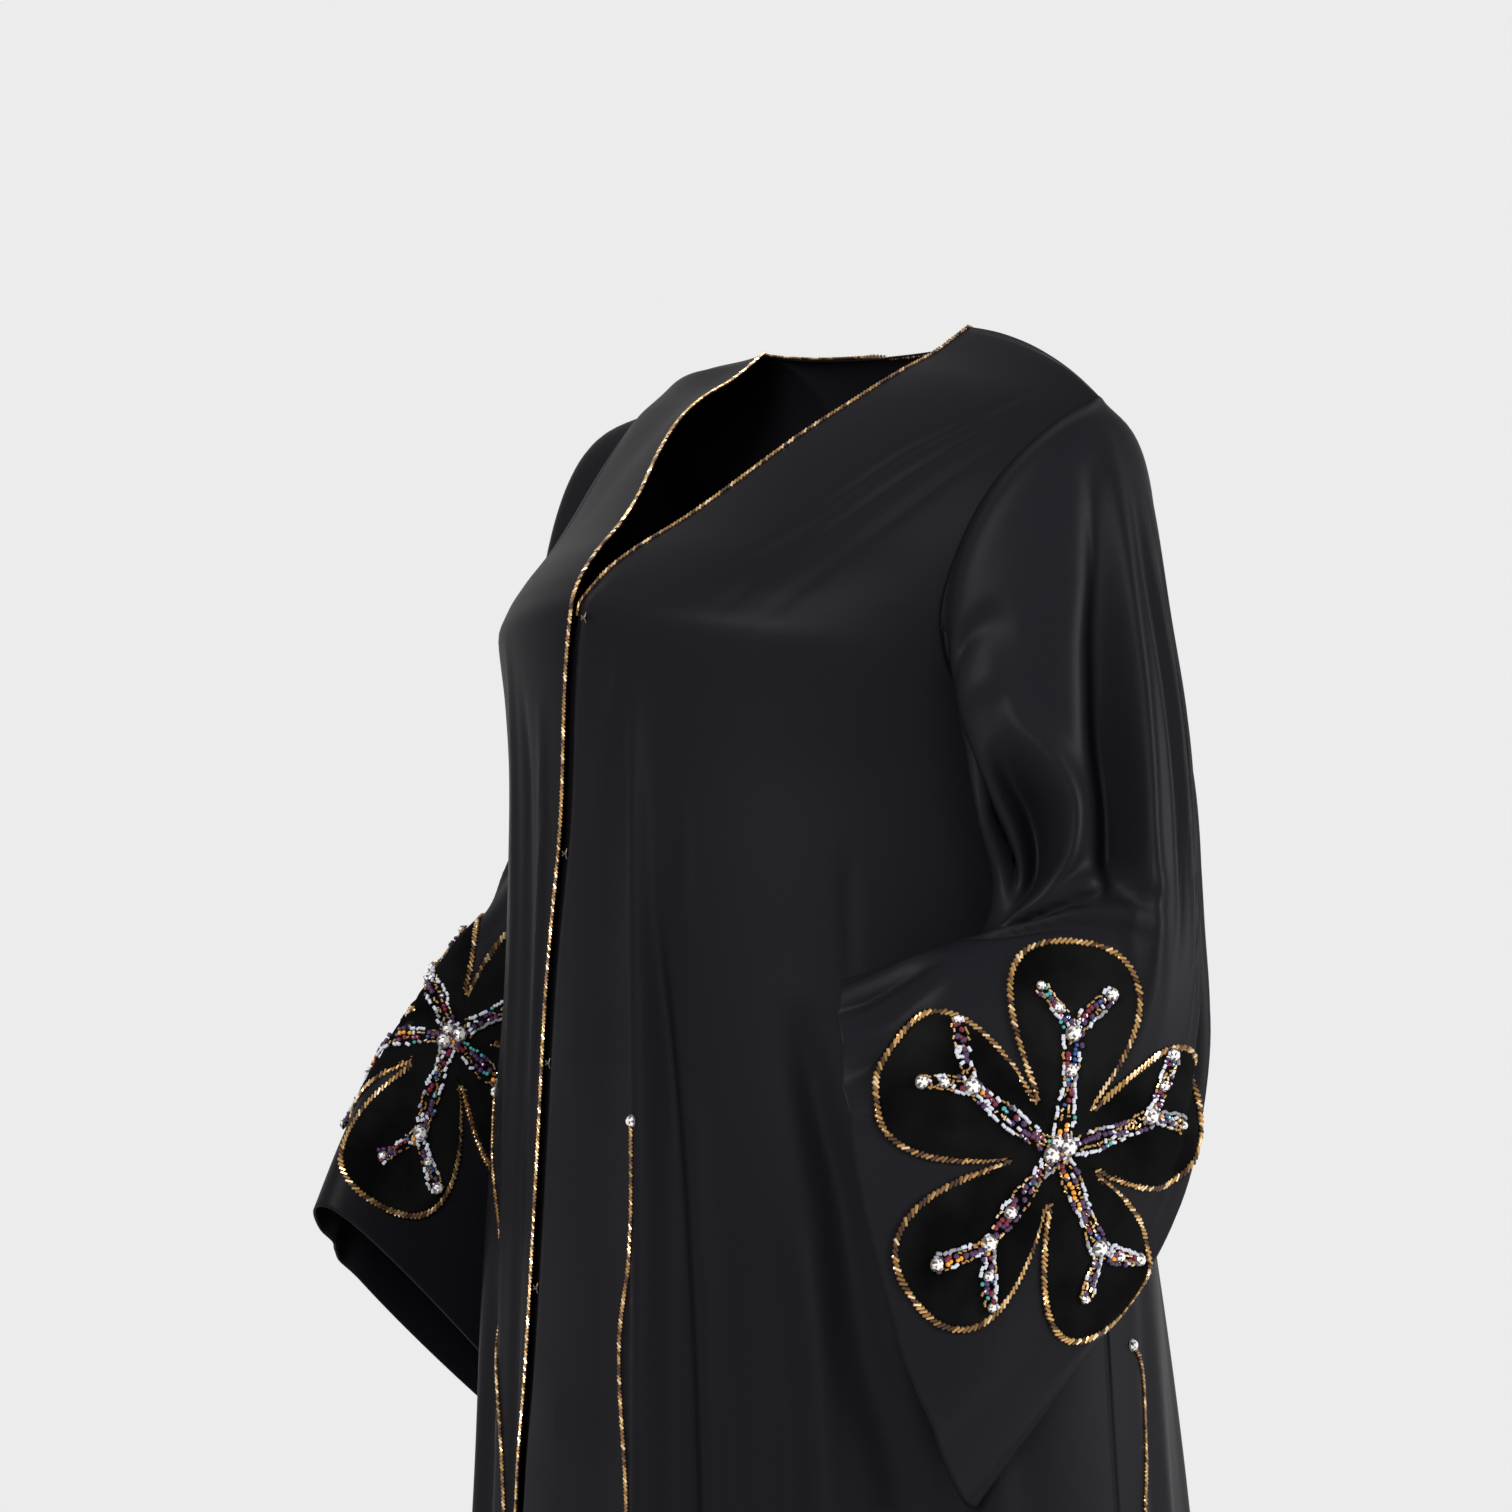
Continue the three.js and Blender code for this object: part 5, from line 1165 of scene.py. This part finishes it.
LEFT_STEM = table(
    ["z", "x"], [(-1450, 66), (-1100, 40), (-900, 62), (-738, 52), (-652, 43), (-560, 55), (-498, 54)]
)
RIGHT_STEM = table(
    ["z", "x"],
    [(-1450, -120), (-1100, -128), (-900, -98), (-780, -96), (-690, -108), (-600, -128), (-500, -158)],
)
SIDE_STEM = table(
    ["z", "x"], [(-1450, 321), (-1100, 288), (-900, 264), (-757, 255), (-702, 246), (-671, 242), (-640, 247)]
)
FRONT_STEM_TOP = -500
SIDE_STEM_TOP = -641
STEM_RISE = WALL / 2 + 0.9
STEM_STONE = 7.5
HEM_SPACE = 0.05  # part of a row between the stem's end and the hem


def stem(name, cloth, top, x_at):
    """A rope down the cloth from the height top, at the place across it that x_at gives for each height."""
    heights = cloth.grid[:, cloth.grid.shape[1] // 2, 2]
    rows = np.arange(len(cloth.grid), dtype=float)[heights <= top]
    columns = []
    for row in cloth.grid[rows.astype(int)]:
        order = np.argsort(row[:, 0])
        columns.append(np.interp(x_at(row[:, 2].mean()), row[order, 0], order.astype(float)))
    j = np.array(columns)
    rows[-1] -= HEM_SPACE
    beads = BeadMesh(f"gold_stem_{name}", [*GOLD_TONES, BEAD_TONES["facet_painted_glint"], BEAD_TONES["facet_painted_dark_reflection"]])
    rope_beads(beads, cloth.over(rows, j, STEM_RISE), cloth.normal(rows, j))
    # The stem stone's facets: a painted glint and a painted dark reflection.
    tones = (len(GOLD_TONES), len(GOLD_TONES) + 1)
    place = cloth.over(rows[0], j[0], WALL / 2 + STONE_RISE)
    beads.add_stone(place, cloth.normal(rows[0], j[0]), STEM_STONE, *tones)
    return beads.finished("gold_beads", f"stem_{name}")


stem_left = stem("front_left", left_front, FRONT_STEM_TOP, LEFT_STEM["x"])
stem_right = stem("front_right", right_front, FRONT_STEM_TOP, RIGHT_STEM["x"])
side_stem_left = stem("side_left", back, SIDE_STEM_TOP, SIDE_STEM["x"])
side_stem_right = stem("side_right", back, SIDE_STEM_TOP, lambda z: -SIDE_STEM["x"](z))


# Hooks in the groove of the lap: a bent wire hook and its bar.

HOOK_COUNT = 4
WIRE_RADIUS = 0.45
# Runs of the wire from a hook's middle: to the left, up and outwards.
HOOK_RUN = [(-3.2, 1.6, 0), (-3.4, 0.2, 0), (0, 0.9, 0.6), (2.6, 0.6, 1.4), (2.7, 0, 2), (0.6, 0, 1.9)]
LOWER_RUN = [(left, -up, out) for left, up, out in HOOK_RUN[:-1]]
BAR_RUN = [(1.6, 3.2, 0.2), (1.8, 1.8, 1.0), (1.8, 0, 1.2), (1.8, -1.8, 1.0), (1.6, -3.2, 0.2)]


def wire_hook(name, middle):
    """A mesh of the hook's bent wire and its bar."""
    curve = bpy.data.curves.new(name, "CURVE")
    curve.dimensions = "3D"
    curve.bevel_depth = WIRE_RADIUS * MM
    curve.bevel_resolution = 3
    curve.resolution_u = 6
    for run in (HOOK_RUN, LOWER_RUN, BAR_RUN):
        line = curve.splines.new("NURBS")
        line.points.add(len(run) - 1)
        for point, (left, up, out) in zip(line.points, run):
            point.co = (*((middle + np.array([left, -out, up])) * MM), 1)
        line.use_endpoint_u = True
        line.order_u = 3
    curve.materials.append(hook_metal)
    made = add_object(name + "_wire", curve)
    mesh = bpy.data.meshes.new_from_object(made.evaluated_get(bpy.context.evaluated_depsgraph_get()))
    bpy.data.objects.remove(made)
    return add_object(name, mesh)


for number in range(1, HOOK_COUNT + 1):
    low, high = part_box(f"hook_{number}")
    made = wire_hook(f"wire_hook_{number}", np.array((low + high) / 2) / MM)
    finish_piece(made, "hooks", f"hook_{number}")


# Floor, light and camera.

floor_finish = new_material("floor_finish", (0.62, 0.62, 0.62), 0.6)
grain(floor_finish, 60, 0.0005, 0.1)
angles = np.linspace(0, 2 * math.pi, FLOOR_SIDES, endpoint=False)
floor_rim = FLOOR_RADIUS * np.stack([np.cos(angles), np.sin(angles), 0 * angles], -1) + [0, 0, FLOOR_Z]
mesh_object("floor", floor_rim, [tuple(range(FLOOR_SIDES))], [floor_finish])

world = bpy.data.worlds.new("studio")
world.use_nodes = True
world.node_tree.nodes["Background"].inputs["Color"].default_value = (*BACKGROUND, 1)
bpy.context.scene.world = world
bpy.context.scene.view_settings.view_transform = "Standard"


def look_along(aim):
    """Euler angles that turn an object's -Z axis along a direction, upright."""
    x, y, z = aim / np.linalg.norm(aim)
    return (math.acos(-z), 0, math.atan2(-x, y))


def area_light(name, place, target, size, power):
    light = bpy.data.lights.new(name, "AREA")
    light.size = size * MM
    light.energy = power
    obj = add_object(name, light)
    obj.location = [v * MM for v in place]
    obj.rotation_euler = look_along(np.array(target, float) - np.array(place, float))


area_light("key", (1500, -2600, 1200), (0, 0, -400), size=1400, power=150)
area_light("side", (2100, 1700, -100), (200, 0, -500), size=1000, power=80)

camera_turn = math.radians(CAMERA_TURN)
camera = bpy.data.cameras.new("camera")
camera.sensor_width = SENSOR
camera.lens = FOCAL_PIXELS / PHOTO_PIXELS * SENSOR
camera_object = add_object("camera", camera)
camera_object.location = (
    (CAMERA_SIDE * math.cos(camera_turn) + CAMERA_DISTANCE * math.sin(camera_turn)) * MM,
    (CAMERA_SIDE * math.sin(camera_turn) - CAMERA_DISTANCE * math.cos(camera_turn)) * MM,
    CAMERA_HEIGHT * MM,
)
camera_object.rotation_euler = (math.pi / 2, 0, camera_turn)
bpy.context.scene.camera = camera_object
